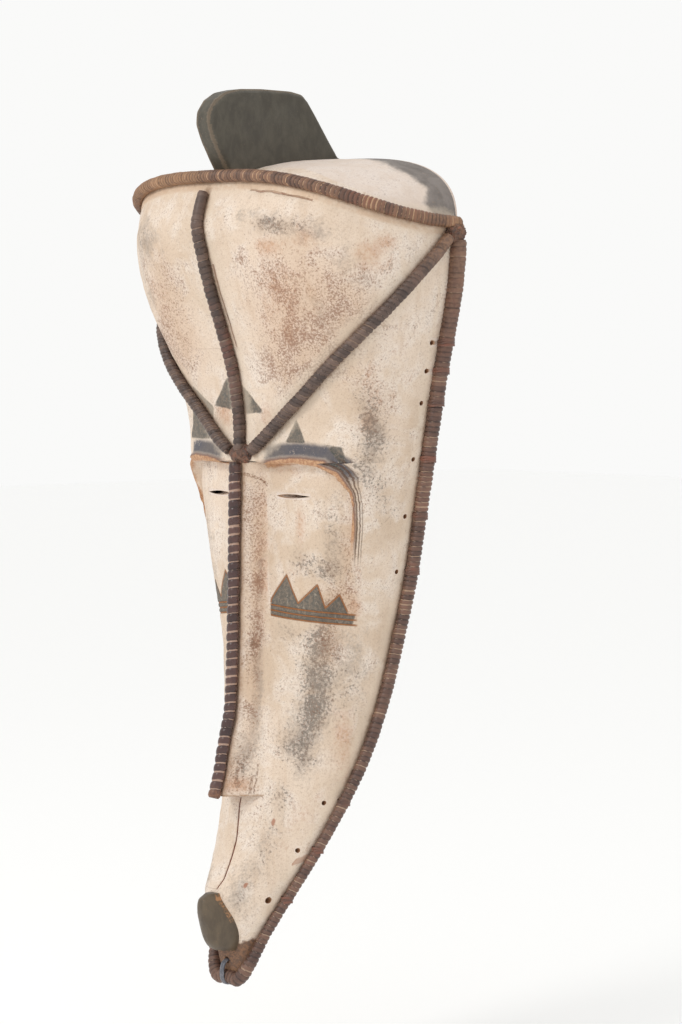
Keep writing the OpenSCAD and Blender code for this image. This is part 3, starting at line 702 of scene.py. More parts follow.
def band_distance(p, path, radius):
    """Distance in mm from points to a band's surface."""
    flat = p.reshape(-1, 3)
    best = np.full(len(flat), 1e9)
    for a, b in zip(path[:-1], path[1:]):
        e = b - a
        t = np.clip(((flat - a) @ e) / (e @ e), 0, 1)
        best = np.minimum(best, np.linalg.norm(flat - a - t[:, None] * e, axis=1))
    return best.reshape(p.shape[:-1]) - radius


# ---- The paths of the bands ----

def outward(a, h):
    da = outer(min(a + 2, SIDE_ANGLE), h) - outer(max(a - 2, -SIDE_ANGLE), h)
    dh = outer(a, h + 2) - outer(a, h - 2)
    n = np.cross(da, dh)
    return n / np.linalg.norm(n)


def on_face(a, h, off):
    return outer(a, h) + off * outward(a, h)


def edge_point(h, off=BAND_OFF):
    n = np.array([1.0, -(RIM_X(h + 1) - RIM_X(h - 1)) / 2])
    n /= np.linalg.norm(n)
    return np.array([RIM_X(h) + off * n[0], back_y(h) - 7, h + off * n[1]])


def mirror(path):
    return np.asarray(path) * [-1, 1, 1]


def top_path():
    out = []
    for i in range(27):
        a = -89 + 178 * i / 26
        p = outer(a, top_h(a))
        n = np.array([p[0] / HALF_WIDTH**2, p[1] / 140**2])
        n /= np.linalg.norm(n)
        push = BAND_OFF / math.sqrt(2)
        out.append(p + push * np.array([n[0], n[1], 1]))
    return np.array(out)


TOP = top_path()
RIGHT_DIAGONAL = np.array([on_face(2.0, 423, BAND_OFF - 1)] + [
    on_face(float(DIAGONAL(h)), h, BAND_OFF)
    for h in (432, 444, 458, 471, 484, 496, 508, 520, 531, 542, 554, 566, 578, 590)])
CENTRE = np.array([on_face(0, h, BAND_OFF - 0.8) for h in (423, *range(430, 612, 10), 616, 624)])
NOSE = np.array([[0, RIDGE_Y(h) - BAND_OFF, h] for h in range(150, 415, 8)])
EDGE = np.array([[0, -117, BAND_R + 2]] + [
    edge_point(h) for h in (
        9, 12, 17, 24, 34, 46, 60, 75, 90, 106, 122, 140, 158, 178, 198, 218, 240, 262, 284,
        306, 328, 350, 372, 394, 416, 438, 460, 482, 504, 526, 548, 570, 588)])

EDGE_WIDTH = steps((6, 1.12), (12, 1.12), (26, 0.95), (60, 0.84), (105, 0.86), (180, 1), (328, 1.1),
                   (460, 1.22), (588, 1.36))
grown = BAND_R * np.abs(EDGE_WIDTH(EDGE[:, 2]) - 1)
grown[0] = 0
EDGE = EDGE + grown[:, None] * np.array([-0.8, -0.75, 0])

near_band = np.full(S.shape, 60.0)
for path in (TOP, RIGHT_DIAGONAL, mirror(RIGHT_DIAGONAL), CENTRE):
    near_band = np.minimum(near_band, band_distance(OUT, path, BAND_R))
for path in (EDGE, mirror(EDGE)):
    near_band = np.minimum(near_band, band_distance(OUT, path, 0) - BAND_R * EDGE_WIDTH(H))

lip = np.where(H > 540, band_distance(OUT, TOP, BAND_R), 60)
lip[IS_CAP] = 60
under = lip - 5.6 + 0.9 * wobble(OUT, 12, 19)
on = (np.abs(under) < np.abs(crack)) & (((S > 48) & (S < 108)) | ((S < -100) & (S > -124)))
crack[on] = under[on]
strap = ease((9 - near_band) / 3) * np.exp(-(((H - 103 + 0.5 * near_band) / 3.4) ** 4))
spot = np.maximum(spot, strap * (S > 0))

def near(value, width):
    """1 where value is 0, falling to nothing over a few widths."""
    return np.exp(-((value / width) ** 2))


# Carving: a lip over the sunken face, engraved rows, dents and worn tool marks.
NORMAL = np.cross(np.gradient(OUT, axis=1), np.gradient(OUT, axis=0))
NORMAL /= np.linalg.norm(NORMAL, axis=2, keepdims=True) + 1e-9
keep = np.ones(S.shape)
keep[:, 0] = keep[:, -1] = 0
keep[-1] = 0
keep *= ease(near_band / 4 + 0.6)
push = 0.55 * wobble(OUT, 60, 11) + 0.22 * wobble(OUT, 16, 12)
push += 1.7 * rim_fade * near(rim_sd - 1.6, 2.8)
push -= 0.9 * row_fade * (near(row_c, 0.9) + near(row_c - 4.2, 0.9) + near(row_c - 8.3, 0.9))
push -= 0.9 * side_fade * near(cheek_sd, 0.9)
push -= 0.8 * arc_fade * (near(rim_sd - 5.6, 1.3) + near(rim_sd - 10.4, 1.3))
push -= 1.5 * near(crack, 1.0)
push -= 0.5 * worn * (wobble(OUT, 5, 13) > 0.1)
push -= 1.6 * hole_shade
OUT_SHAPED = OUT + NORMAL * (push * keep)[..., None]

IN = []
STRIDE = 4  # the inside has one point for every four outside
in_a = np.array([r[::STRIDE] for r in face_a[::STRIDE]])
for a, h in zip(in_a, face_h[::STRIDE]):
    IN.append(inner(a, np.minimum(h, LEVEL_H - WALL_FRONT)))
# Heights of the top rows on the inside follow the outside, one wall lower.
last_in = last_a[::STRIDE]
top_rows = list(range(STRIDE * len(IN) - FACE_STEPS, TOP_STEPS + 1, STRIDE))
for k in top_rows:
    edge_h = LEVEL_H + (top_h(last_in) - LEVEL_H) * k / TOP_STEPS
    IN.append(inner(last_in, edge_h - WALL_FRONT + 0.3))
done = FACE_STEPS + top_rows[-1]
for r in range(done + STRIDE, ROWS, STRIDE):
    share = (r - FACE_STEPS - TOP_STEPS) / CAP_STEPS
    edge = inner(last_in, top_h(last_in) - WALL_FRONT)
    p = cap(last_in, share)
    IN.append(np.stack([
        edge[:, 0] * (1 - CAP_TAPER * share * share), edge[:, 1] + (-3 - edge[:, 1]) * share,
        p[:, 2] - WALL_FRONT], -1))
IN = np.array(IN)
IN = IN + 0.5 * wobble(IN, 22, 14)[..., None] * np.array([0.3, 1, 0.3])
IR, ICOLS = IN.shape[:2]


def border(rows, cols):
    right = [r * cols + cols - 1 for r in range(1, rows)]
    top = [(rows - 1) * cols + c for c in range(cols - 2, -1, -1)]
    left = [r * cols for r in range(rows - 2, 0, -1)]
    return list(range(cols)) + right + top + left


def to_back(p):
    q = p.copy()
    q[:, 1] = back_y(p[:, 2])
    return q


def strip(a, b):
    n = len(a)
    return [[a[k], a[(k + 1) % n], b[(k + 1) % n], b[k]] for k in range(n)]


def zip_rings(dense, coarse):
    """Triangles from a dense ring to a coarse one, STRIDE points to each of its edges."""
    out, n, m = [], len(dense), len(coarse)
    for j in range(m):
        c0, c1 = coarse[j], coarse[(j + 1) % m]
        d = [dense[(j * STRIDE + k) % n] for k in range(STRIDE + 1)]
        half = STRIDE // 2
        for k in range(STRIDE):
            out.append([d[k], d[k + 1], c0 if k < half else c1])
        out.append([d[half], c1, c0])
    return out


out_pts = OUT_SHAPED.reshape(-1, 3)
in_pts = IN.reshape(-1, 3)
ring_out = border(ROWS, NC + 1)
ring_in = border(IR, ICOLS)
back_out = to_back(out_pts[ring_out])
back_in = to_back(in_pts[ring_in])
base_in = len(out_pts)
base_bo = base_in + len(in_pts)
base_bi = base_bo + len(back_out)
idx_bo = [base_bo + k for k in range(len(back_out))]
idx_bi = [base_bi + k for k in range(len(back_in))]
idx_in = [base_in + k for k in ring_in]
faces = grid_quads(ROWS, NC + 1).tolist()
faces += grid_quads(IR, ICOLS, base_in, flip=True).tolist()
faces += strip(idx_bo, ring_out)
faces += [f[::-1] for f in zip_rings(idx_bo, idx_bi)]
faces += strip(idx_in, idx_bi)
verts = np.concatenate([out_pts, in_pts, back_out, back_in])
extra = len(verts) - len(out_pts)


def spread(values, rest):
    return np.concatenate([np.asarray(values, float).ravel(), np.full(extra, float(rest))])


shell = make_object(
    "mask_shell", verts, faces, KAOLIN, ["shell"], {
        "rim": spread(rim_sd, 90), "dark": spread(dark_sd, -90), "cap": spread(cap_sd, -60),
        "row": spread(row_c, 90), "rowfade": spread(row_fade, 0),
        "sidefade": spread(side_fade, 0), "rimfade": spread(rim_fade, 0),
        "bluefade": spread(blue_fade, 0), "arcfade": spread(arc_fade, 0),
        "worn": spread(worn, 0.2), "brown": spread(brown, 0.6), "ochre": spread(ochre, 0.9),
        "grey": spread(grey, 0.2), "spot": spread(spot, 0), "hole_shade": spread(hole_shade, 0),
        "crack": spread(crack, 50), "chin": spread(chin_sd, 1), "band": spread(near_band, 30),
        "lip": spread(lip, 60)})


def prism(count):
    """Side faces of a solid between two outlines of count points each."""
    return [
        [k, (k + 1) % count, count + (k + 1) % count, count + k] for k in range(count)]


EYE_X = 44
EYE_H = 388


def lens_cutter(hand, n=24):
    """A pointed eye slit, slanted outwards; it ends inside the wall, short of the hollow."""
    pts = []
    for y, tall, half, shift in ((-98, 2.1, 15, -18), (-72, 0.7, 8, 28.8)):
        c = hand * (EYE_X + shift)
        for way in (1, -1):
            for k in range(n):
                rise = tall * (1 - (2 * k / n - 1) ** 2)
                pts.append((c - way * (half - 2 * half * k / n), y, EYE_H + way * rise))
    m = 2 * n
    return pts, [list(range(m - 1, -1, -1)), list(range(m, 2 * m))] + prism(m)


def round_cutter(a, b, r, n=20):
    a, b = np.array(a, float), np.array(b, float)
    d = (b - a) / np.linalg.norm(b - a)
    u = np.cross(d, [0.1, 0.2, 1.0])
    u /= np.linalg.norm(u)
    v = np.cross(d, u)
    pts = [tuple(c + r * (math.cos(t) * u + math.sin(t) * v)) for c in (a, b)
           for t in [2 * math.pi * k / n for k in range(n)]]
    return pts, [list(range(n))[::-1], list(range(n, 2 * n))] + prism(n)


HOLES = (70, 109, 146, 328, 372, 417, 461, 486, 508)
cut_v, cut_f = [], []
cutters = [lens_cutter(1), lens_cutter(-1), round_cutter((0, -130, 20), (0, -90, 20), 2.8)]
for h in HOLES:
    x, y = float(RIM_X(h)), float(back_y(h)) - 20
    for hand in (-1, 1):
        cutters.append(round_cutter((hand * (x - 20), y, h), (hand * (x + 14), y, h),
                                    2.6 if h == 70 else 1.8))
for pts, fs in cutters:
    cut_f += [[len(cut_v) + k for k in f] for f in fs]
    cut_v += pts
# What the walls of the holes are painted with; their dark brown is painted shade inside the holes.
CUT_WALL = {"rim": 90, "dark": -90, "cap": -60, "row": 90, "crack": 50, "chin": 1, "band": 30,
            "lip": 60, "hole_shade": 1}
cutter = make_object("cutter", cut_v, cut_f, KAOLIN, None)
for key in [a.name for a in shell.data.attributes if a.data_type == "FLOAT"]:
    layer = cutter.data.attributes.new(key, "FLOAT", "POINT")
    layer.data.foreach_set("value", np.full(len(cut_v), CUT_WALL.get(key, 0), np.float32))
cutter.hide_render = True
cut = shell.modifiers.new("holes", "BOOLEAN")
cut.operation = "DIFFERENCE"
cut.object = cutter
cut.solver = "MANIFOLD"
graph = bpy.context.evaluated_depsgraph_get()
done_mesh = bpy.data.meshes.new_from_object(shell.evaluated_get(graph))
shell.modifiers.clear()
old = shell.data
shell.data = done_mesh
bpy.data.meshes.remove(old)
bpy.data.objects.remove(cutter)
shell.data.set_sharp_from_angle(angle=math.radians(42))


# ---- Bands ----

SMOOTH_BAND = 6
SMOOTH_OUTLINE = 4
TURN_GRAIN = 0.6  # mm between a band's rings
GAP_DEPTH = 0.24  # depth of the gaps between turns, as a share of the radius


def distances(path):
    return np.concatenate([[0], np.cumsum(np.linalg.norm(np.diff(path, axis=0), axis=1))])


def resample(path, count, passes):
    """Evenly spaced points along a path, its corners rounded by averaging."""
    path = np.asarray(path, float)
    d = distances(path)
    t = np.linspace(0, d[-1], count)
    fine = np.stack([np.interp(t, d, path[:, k]) for k in range(path.shape[1])], -1)
    for _ in range(passes):
        fine[1:-1] = (fine[:-2] + 2 * fine[1:-1] + fine[2:]) / 4
    return fine


def frames(path, reference):
    t = np.gradient(path, axis=0)
    t /= np.linalg.norm(t, axis=1, keepdims=True)
    u = np.cross(t, np.array(reference, float))
    u /= np.linalg.norm(u, axis=1, keepdims=True)
    return t, u, np.cross(u, t)


def circle(sides):
    return np.linspace(0, 2 * math.pi, sides, endpoint=False)


def rings(middle, u, v, r, th):
    """Rings of radius r, in the directions u and v, round points."""
    return middle + r[..., None] * (
        np.cos(th)[None, :, None] * u[:, None, :] + np.sin(th)[None, :, None] * v[:, None, :])


def from_end(count):
    """How many rings each ring is from the nearer end."""
    return np.minimum(np.arange(count), np.arange(count)[::-1])[:, None]


def tube(ring_points, first, last, flip=False):
    """Points and faces of a tube through rings, closed at the points first and last."""
    rows, sides = ring_points.shape[:2]
    verts = np.concatenate([ring_points.reshape(-1, 3), [first], [last]])
    faces = grid_quads(rows, sides, wrap=True).tolist()
    a, b, top = rows * sides, rows * sides + 1, (rows - 1) * sides
    faces += [[(k + 1) % sides, k, a] for k in range(sides)]
    faces += [[top + k, top + (k + 1) % sides, b] for k in range(sides)]
    return verts, [f[::-1] for f in faces] if flip else faces


def along(share, rows):
    return np.interp(share, [r[0] for r in rows], [r[1] for r in rows])


def band(name, path, reference, material, nodes, pitch, seed, tone, red, wear, slant, width=None):
    """A core wound with split cane; tone, red and wear are rows along the band, 0 to 1.

    width gives the share of the usual radius at each height.
    """
    rng = np.random.default_rng(seed)
    fine = resample(path, int(distances(path)[-1] / TURN_GRAIN), SMOOTH_BAND)
    _, u, v = frames(fine, reference)
    sides = 26
    th = circle(sides)
    drift = np.cumsum(rng.normal(0, 0.012, len(fine)))
    phase = distances(fine)[:, None] / pitch + drift[:, None] + slant * np.cos(th)[None, :] * 0.5
    turn = np.floor(phase).astype(int)
    f = phase - turn
    n = turn.max() + 3
    size = rng.uniform(0.965, 1.0, n)
    shade = rng.uniform(0, 1, n)
    lean = rng.uniform(-0.12, 0.12, n)
    hump = np.clip(1 - np.abs(2 * f - 1 + lean[turn]) ** 2.6, 0, 1) ** 0.7
    share = np.linspace(0, 1, len(fine))[:, None]
    worn_here = along(share, wear)
    gap = (1 - hump) * (1 - 0.7 * worn_here)
    p0 = fine[:, None, :]
    wob = wobble(np.repeat(p0, sides, 1) + np.stack([np.cos(th), np.sin(th), 0 * th], -1) * 5,
                 14, seed + 3)
    r = BAND_R * (size[turn] * (1 - worn_here) + 0.965 * worn_here)
    r = r * (1 - GAP_DEPTH * gap)
    r = np.minimum(r - 0.12 + 0.16 * wob, BAND_R)
    if width is not None:
        r = r * width(fine[:, 2])[:, None]
    r = r * (0.86 + 0.14 * ease(from_end(len(fine)) / 3))
    verts, faces = tube(rings(p0, u, v, r, th), fine[0], fine[-1])

    def tail(x):
        return np.concatenate([x.ravel(), [x[0, 0], x[-1, 0]]])
    return make_object(name, verts, faces, material, nodes, {
        "rib": tail(shade[turn]), "gap": tail(gap), "tone": tail(along(share, tone) + 0 * f),
        "red": tail(along(share, red) + 0 * f)})


def core(name, path, reference, nodes, seed):
    fine = resample(path, max(30, int(distances(path)[-1] / 2.5)), SMOOTH_BAND)
    _, u, v = frames(fine, reference)
    sides = 16
    th = circle(sides)
    p0 = fine[:, None, :]
    r = CORE_R * 0.985 * (0.8 + 0.2 * ease((from_end(len(fine)) + 0.4) / 1.5)) + 0 * th
    r = r - 0.12 * np.abs(wobble(np.repeat(p0, sides, 1), 12, seed))
    verts, faces = tube(rings(p0, u, v, r, th), fine[0], fine[-1])
    return make_object(name, verts, faces, CANE, nodes, {
        "edge": np.full(len(verts), 0.2)})


FRONT = (0, 1, 0)
UP = (0, 0, 1)
band("top_band", TOP, UP, TOP_WRAP, ["top_band_wrap"], 3.5, 21,
     [(0, 0.5), (0.12, 0.3), (0.3, 0.7), (0.46, 0.75), (0.55, 0.3), (0.62, 0.05), (0.75, 0.15),
      (1, 0.6)],
     [(0, 0.1), (0.5, 0.05), (0.64, 0.3), (0.8, 0.5), (0.92, 0.45), (1, 0.2)],
     [(0, 0.2), (0.14, 0.1), (0.32, 0.1), (0.42, 0.4), (0.52, 0.1), (0.6, 0.4), (0.68, 0.1),
      (0.75, 0.4), (0.82, 0.1), (0.94, 0.4), (1, 0.8)], slant=1.3)
band("centre_band", CENTRE, FRONT, DIAGONAL_WRAP, ["centre_band_wrap"], 5.0, 22,
     [(0, 0.35), (0.1, 0.15), (0.5, 0.1), (0.8, 0.1), (1, 0.25)],
     [(0, 0.3), (0.3, 0.5), (0.5, 0.55), (0.7, 0.25), (0.85, 0.05), (1, 0)],
     [(0, 0.3), (0.2, 0.1), (0.5, 0.2), (0.75, 0.3), (0.89, 0.15), (0.9, 1), (1, 1)], slant=0.3,
     width=steps((420, 1), (604, 1), (606, 0.92), (626, 0.84)))
for hand, name in ((1, "right"), (-1, "left")):
    path = RIGHT_DIAGONAL if hand > 0 else mirror(RIGHT_DIAGONAL)
    band(name + "_diagonal", path, FRONT, DIAGONAL_WRAP, [name + "_diagonal_wrap"], 4.1, 24 + hand,
         [(0, 0.2), (0.1, 0), (0.55, 0.05), (0.75, 0.25), (0.9, 0.5), (1, 0.7)],
         [(0, 0), (0.3, 0.0), (0.6, 0.15), (0.8, 0.3), (1, 0.2)],
         [(0, 0.2), (0.2, 0.0), (0.5, 0.25), (0.62, 0.05), (0.85, 0.6), (1, 0.9)],
         slant=0.9 * hand)
    core(name + "_diagonal_core_rod", path, FRONT, [name + "_diagonal_core"], 34 + hand)
    path = EDGE if hand > 0 else mirror(EDGE)
    band(name + "_edge", path, FRONT, EDGE_WRAP, [name + "_edge_wrap"], 4.0, 27 + hand,
         [(0, 0.5), (0.08, 0.15), (0.2, 0.1), (0.27, 0.3), (0.35, 0.1), (0.6, 0.1), (0.8, 0.3),
          (0.92, 0.5), (1, 0.6)],
         [(0, 0.0), (0.1, 0.05), (0.2, 0.4), (0.26, 0.05), (0.4, 0.25), (0.6, 0.35), (0.8, 0.3),
          (0.95, 0.3), (1, 0.2)],
         [(0, 0.6), (0.1, 0.1), (0.24, 0.5), (0.3, 0.1), (0.42, 0.55), (0.5, 0.1), (0.75, 0.25),
          (0.85, 0.6), (1, 0.9)], slant=0.35, width=EDGE_WIDTH)
    core(name + "_edge_core_rod", path, FRONT, [name + "_edge_core"], 44 + hand)
band("nose_band", NOSE, FRONT, NOSE_WRAP, ["nose_band_wrap"], 7.0, 30,
     [(0, 0.8), (0.03, 0.5), (0.06, 0.05), (0.5, 0), (0.93, 0.05), (1, 0.5)],
     [(0, 0.2), (0.1, 0.0), (0.5, 0.05), (0.9, 0.3), (1, 0.3)],
     [(0, 0.7), (0.05, 0.1), (0.3, 0.0), (0.8, 0.0), (0.96, 0.3), (1, 0.7)], slant=0.25)
core("top_band_core_rod", TOP, UP, ["top_band_core"], 50)
core("centre_band_core_rod", CENTRE, FRONT, ["centre_band_core"], 51)
core("nose_band_core_rod", NOSE, FRONT, ["nose_band_core"], 52)


# ---- Crest ----

def rounded_path(pts, count):
    return resample(pts, count, SMOOTH_OUTLINE)


def cap_mid(share):
    return cap(np.array(0.0), np.array(float(share)))


n_u, n_v = 90, 60
bottom = rounded_path([(cap_mid(s)[1], cap_mid(s)[2]) for s in np.linspace(0.03, 1, 30)], n_u)
back = rounded_path([tuple(bottom[-1]), (-7, 656), (-23, 678), (-39, 699)], n_v)
back[0] = bottom[-1]
top = rounded_path([(-134.5, 696.5), (-124, 703), (-110, 706), (-88, 707), (-57, 706.6),
                    (-45, 704.5), (-39, 699)], n_u)
head = rounded_path([tuple(bottom[0]), (-122, 640), (-129, 651), (-137, 665), (-142, 677),
                     (-141.5, 687), (-134.5, 696.5)], n_v)
uu = np.linspace(0, 1, n_u)[:, None, None]
vv = np.linspace(0, 1, n_v)[None, :, None]
flat = (
    (1 - vv) * bottom[:, None] + vv * top[:, None] + (1 - uu) * head[None] + uu * back[None]
    - ((1 - uu) * (1 - vv) * bottom[0] + uu * (1 - vv) * bottom[-1]
       + (1 - uu) * vv * top[0] + uu * vv * top[-1]))
outline = np.concatenate([head, top[1:], back[::-1][1:]])
reach = np.full(flat.shape[:2], 1e9)
for a, b in zip(outline[:-1], outline[1:]):
    e = b - a
    t = np.clip(((flat - a) @ e) / (e @ e + 1e-9), 0, 1)
    reach = np.minimum(reach, np.linalg.norm(flat - a - t[..., None] * e, axis=-1))
HALF_T = 10.5
round_in = HALF_T - 3.2 * (1 - ease(reach / 3.6)) ** 1.3
facet = 2.2 * ease((-125 - flat[..., 1]) / 9)
sides_pts = []
for sgn in (1, -1):
    x = sgn * (round_in - facet)
    p = np.stack([x, flat[..., 0], flat[..., 1]], -1)
    p[..., 0] += sgn * (0.25 * wobble(p, 26, 61) - 0.25)
    sides_pts.append(p)
PLUS, MINUS = sides_pts
ring = border(n_u, n_v)
plus = PLUS.reshape(-1, 3)
minus = MINUS.reshape(-1, 3)
base = len(plus)
middle = (plus[ring] + minus[ring]) / 2
centre = flat.reshape(-1, 2).mean(0)
out_dir = middle[:, 1:] - centre
out_dir /= np.linalg.norm(out_dir, axis=1, keepdims=True)
cols_mid = []
for t in (-0.6, -0.2, 0.2, 0.6):
    m = middle.copy()
    m[:, 0] = t * np.abs(plus[ring][:, 0])
    cols_mid.append(m)
verts = np.concatenate([plus, minus] + cols_mid)
m = len(ring)
levels = [[base + k for k in ring]] + [
    [2 * base + i * m + k for k in range(m)] for i in range(4)] + [list(ring)]
faces = grid_quads(n_u, n_v, 0).tolist() + grid_quads(n_u, n_v, base, flip=True).tolist()
for lo, hi in zip(levels[:-1], levels[1:]):
    faces += strip(lo, hi)
worn_edge = (1 - ease(reach / 3.5)).ravel()
edge = np.concatenate([worn_edge, worn_edge, np.full(4 * m, 0.45)])
make_object("crest_board", verts, faces, DARK_WOOD, ["crest"],
            {"edge": edge}, sharp=35)

# ---- Nose ----

NOSE_LOW = 151
MOUTH_LOW = 29
SKIRT = 2.5  # width of the thin edge that runs out onto the face


def nose_half(h):
    return 21 + (15.5 - 21) * (h - NOSE_LOW) / 254


def block(front_pts, back_pts):
    """Points and faces of a closed block between a front and a back sheet."""
    rows, cols = front_pts.shape[:2]
    count = rows * cols
    ring = border(rows, cols)
    faces = grid_quads(rows, cols).tolist() + grid_quads(rows, cols, count, flip=True).tolist()
    faces += strip([count + k for k in ring], list(ring))
    return np.concatenate([front_pts.reshape(-1, 3), back_pts.reshape(-1, 3)]), faces


def face_y_at(x, h):
    n = SQUARE(h)
    share = np.minimum(np.abs(x) / RIM_X(h), 0.98)
    return back_y(h) - (back_y(h) - centre_y(x, h)) * (1 - share**n) ** (1 / n)


n_h, n_w = 170, 71
hh = np.linspace(NOSE_LOW, 414, n_h)[:, None]
ww = np.linspace(-1, 1, n_w)[None, :]
b = nose_half(hh)
x = (b + SKIRT) * ww
skin = face_y_at(x, hh) + 0.35
y1 = RIDGE_Y(hh)
t = np.clip((np.abs(x) - 4.2) / (b + SKIRT - 4.2), 0, 1)
profile = np.where(t < 0.72, 1 - 1.16 * t, 0.1648 * ((1 - t) / 0.28) ** 2)
y = skin + (y1 - skin) * profile
pts = np.stack([x + 0 * hh, y, hh + 0 * ww], -1)
lift = 0.35 * wobble(pts, 30, 71) + 0.12 * wobble(pts, 8, 72)
pts[..., 1] -= lift * (1 - t) * ease((hh - NOSE_LOW) / 6)
pts[..., 1] += 1.4 * (1 - ease((hh - NOSE_LOW) / 3.5)) * profile
back = pts.copy()
back[..., 1] = skin + 0.4
verts, faces = block(pts, back)
sw = x + 0 * hh
hs = hh + 0 * ww
crack_n = np.full(sw.shape, 50.0)
for at, lo, hi in ((17.5, NOSE_LOW, 176), (15.6, NOSE_LOW, 168), (-17, NOSE_LOW, 172)):
    on = (hs > lo) & (hs < hi)
    closer = np.where(np.abs(sw - at) < np.abs(crack_n), sw - at, crack_n)
    crack_n = np.where(on, closer, crack_n)
root = 404.5 - 0.055 * (np.abs(sw) - 4) ** 2 - hs
near_nose = np.minimum(np.abs(sw) - 4.5, 30)
attrs = {
    "ochre": blobs(sw, hs, [(14, 350, 5, 60, 0.5), (16, 300, 5, 80, 0.4), (10, 160, 10, 8, 0.9)]),
    "grey": blobs(sw, hs, [(13.5, 310, 3, 60, 0.9), (14, 220, 3, 40, 0.9), (10, 180, 6, 26, 0.9),
                           (12, 230, 4, 20, 0.5), (-11, 300, 5, 50, 0.8)]),
    "worn": blobs(sw, hs, [(12, 268, 4, 14, 0.7), (10, 176, 4, 16, 0.6), (13, 252, 3, 8, 0.6)]),
    "brown": blobs(sw, hs, [(11, 380, 6, 20, 0.3), (13, 330, 3.4, 60, 0.55),
                            (13, 240, 3.4, 60, 0.6), (9, 300, 6, 120, 0.55), (7, 170, 3, 14, 0.7)]),
    "crack": crack_n, "root": root, "foot": hs - NOSE_LOW, "band": near_nose}
full = {k: np.concatenate([np.broadcast_to(v, sw.shape).ravel()] * 2) for k, v in attrs.items()}
make_object("nose_block", verts, faces, KAOLIN_NOSE, ["nose"], full, sharp=40)

# ---- Mouth ----

MOUTH_W = curve((29, 11), (34, 13.5), (40, 15), (48, 15.5), (56, 14.5), (63, 12), (70, 8.5), (75, 5))
MOUTH_Y = curve(
    (29, -131), (34, -136), (40, -139.5), (48, -142), (56, -144.5), (63, -146), (70, -146),
    (75, -143))
n_h, n_w = 70, 57
hh = np.linspace(MOUTH_LOW, 75, n_h)[:, None] + np.zeros((1, n_w))
ww = np.linspace(-1, 1, n_w)[None, :] + np.zeros((n_h, 1))
w = MOUTH_W(hh)
edge_y = face_y_at(w, hh) - 5
aw = np.abs(ww)
t = (1 - np.minimum(aw, 1) ** 2.3) ** 0.75
y = edge_y + (MOUTH_Y(hh) - edge_y) * t
bevel = ease((hh - 70.5) / 5)
y = y + 4.5 * bevel * t
y = y + 1.6 * (1 - ease((hh - MOUTH_LOW) / 3))
pts = np.stack([w * ww, y, hh], -1)
pts[..., 1] += 0.3 * wobble(pts, 14, 81)
back = pts.copy()
back[..., 1] = face_y_at(pts[..., 0], hh) + 0.3
verts, faces = block(pts, back)
edge = np.clip(0.6 * ease((aw - 0.97) / 0.03) * ease((hh - 44) / 12)
               + 0.45 * np.exp(-(((hh - 71) / 1.0) ** 2)) + 0.5 * ease((33 - hh) / 4), 0, 1)
make_object("mouth_block", verts, faces, MOUTH_WOOD, ["mouth"],
            {"edge": np.concatenate([edge.ravel()] * 2)}, sharp=50)


# ---- Lashings, staple and knots ----

def strand_loop(points, half_w, half_t, sides=10):
    """A flat strand along points; returns its points and faces."""
    path = np.array(points, float)
    t = np.gradient(path, axis=0)
    t /= np.linalg.norm(t, axis=1, keepdims=True)
    mid = path.mean(0)
    n = path - mid
    n -= (n * t).sum(1, keepdims=True) * t
    n /= np.linalg.norm(n, axis=1, keepdims=True)
    w = np.cross(t, n)
    th = circle(sides)
    ring = (path[:, None] + half_t * np.cos(th)[None, :, None] * n[:, None]
            + half_w * np.sin(th)[None, :, None] * w[:, None])
    return tube(ring, path[0], path[-1], flip=True)


for hand, name in ((1, "right"), (-1, "left")):
    rng = np.random.default_rng(90 + hand)
    vs, fs, ribs = [], [], []
    total = 0
    for h in HOLES:
        c = np.array([np.interp(h, EDGE[:, 2], EDGE[:, i]) for i in range(3)])
        reach = BAND_R * float(EDGE_WIDTH(h)) + 0.02
        for k in range(3):
            lift = (k - 1) * 1.7
            a0 = math.radians(-166 + rng.uniform(-5, 5))
            arc = np.linspace(0, math.radians(224), 34)
            loop = [(c[0] + reach * math.cos(a0 + q), c[1] + reach * math.sin(a0 + q),
                     c[2] + lift + 0.3 * math.sin(3 * q + k)) for q in arc]
            v, f = strand_loop(np.array(loop) * [hand, 1, 1], 0.95, 0.3)
            if hand < 0:
                f = [q[::-1] for q in f]
            vs.append(v)
            fs += [[total + i for i in q] for q in f]
            total += len(v)
            ribs.append(np.full(len(v), rng.uniform(0, 1)))
    ribs = np.concatenate(ribs)
    make_object(name + "_lashings", np.concatenate(vs), fs, EDGE_WRAP, [name + "_edge_lashings"],
                {"rib": ribs, "gap": 0 * ribs, "tone": 0.25 * ribs,
                               "red": 0.25 + 0.4 * ribs})

vs, fs, total = [], [], 0
for x in (-1.1, 1.1):
    knots = np.array([(-112.5, 20), (-118.5, 20.4), (-122.4, 17.5), (-123.6, 12), (-123.4, 6),
                      (-121, 1.8), (-117, 0.9), (-113, 1.8), (-110.6, 5)])
    loop = rounded_path(knots, 40)
    loop = [(x, q[0], q[1]) for q in loop]
    v, f = strand_loop(loop, 1.3, 1.0)
    vs.append(v)
    fs += [[total + i for i in q] for q in f]
    total += len(v)
make_object("chin_staple_loops", np.concatenate(vs), fs, STAPLE, ["chin_staple"])


def lump(name, centre, radii, seed, nodes, cuts=4):
    bm = bmesh.new()
    bmesh.ops.create_icosphere(bm, subdivisions=cuts + 1, radius=1)
    p = np.array([v.co[:] for v in bm.verts])
    faces = [[v.index for v in f.verts] for f in bm.faces]
    bm.free()
    pts = p * radii + centre
    grow = 0.86 + 0.12 * wobble(pts, 9, seed) + 0.07 * wobble(pts, 3.2, seed + 1)
    return make_object(name, p * radii * grow[:, None] + centre, faces, RESIN, nodes)


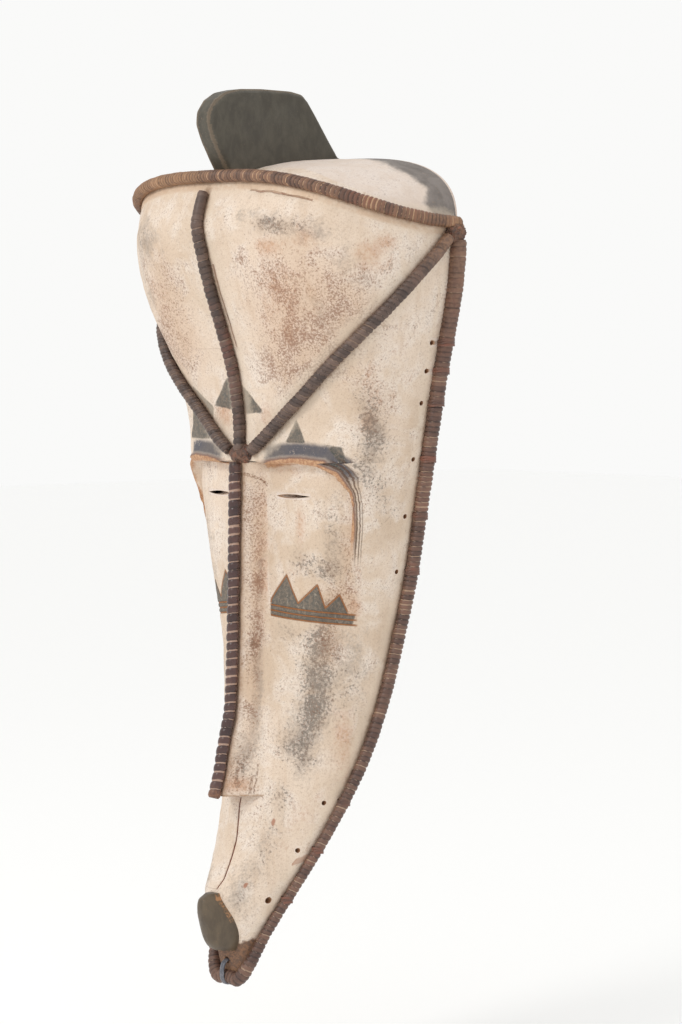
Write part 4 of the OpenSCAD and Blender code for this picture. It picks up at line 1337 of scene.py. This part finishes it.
lump("bridge_lump", (-0.5, -102.6, 421), (13.5, 6.6, 10), 95, ["bridge_knot"])
lump("right_corner_lump", (148.2, -12, 593.5), (9, 9.5, 10), 97, ["right_corner_knot"])
lump("left_corner_lump", (-148.2, -12, 593.5), (9, 9.5, 10), 99, ["left_corner_knot"])

for node in ("crest_dowels", "nose_dowels", "mouth_dowel"):
    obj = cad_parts[node]
    obj.data.materials.clear()
    obj.data.materials.append(DOWEL_WOOD)


# ---- Stage, lights and camera ----

def plain_material(name, colour, rough):
    mat = bpy.data.materials.new(name)
    mat.use_nodes = True
    bsdf = mat.node_tree.nodes["Principled BSDF"]
    bsdf.inputs["Base Color"].default_value = colour
    bsdf.inputs["Roughness"].default_value = rough
    return mat


floor_mesh = bpy.data.meshes.new("floor")
floor_mesh.from_pydata([(-9, -9, -0.74), (9, -9, -0.74), (9, 9, -0.74), (-9, 9, -0.74)], [],
                       [(0, 1, 2, 3)])
floor_mesh.materials.append(plain_material("floor", (0.985, 0.985, 0.98, 1), 0.9))
floor = bpy.data.objects.new("floor", floor_mesh)
bpy.context.scene.collection.objects.link(floor)

world = bpy.data.worlds.new("studio")
world.use_nodes = True
world.node_tree.nodes["Background"].inputs["Color"].default_value = (1.0, 1.0, 0.99, 1)
world.node_tree.nodes["Background"].inputs["Strength"].default_value = 0.955
bpy.context.scene.world = world


def area(name, where, aim, size, power, colour=(1, 1, 1)):
    light = bpy.data.lights.new(name, "AREA")
    light.shape = "DISK"
    light.size = size
    light.energy = power
    light.color = colour
    obj = bpy.data.objects.new(name, light)
    obj.location = where
    d = np.array(aim, float) - np.array(where, float)
    yaw = math.atan2(d[0], -d[1])
    tilt = math.acos(-d[2] / np.linalg.norm(d))
    obj.rotation_euler = (tilt, 0, yaw + math.pi)
    bpy.context.scene.collection.objects.link(obj)
    return obj


area("key", (0.1, -2.3, 1.1), (0, 0, -0.3), 0.7, 16, (1, 0.98, 0.95))

cam_data = bpy.data.cameras.new("camera")
cam_data.lens = 114.5
cam_data.sensor_width = 36
cam = bpy.data.objects.new("camera", cam_data)
cam.location = (1.9612, -1.7626, -0.1407)
target = np.array([0.03164, -0.02525, -0.27674])
look = target - np.array(cam.location)
cam.rotation_euler = (
    math.acos(-look[2] / np.linalg.norm(look)), 0, math.atan2(look[0], -look[1]) + math.pi)
bpy.context.scene.collection.objects.link(cam)
bpy.context.scene.camera = cam
bpy.context.scene.view_settings.view_transform = "Standard"
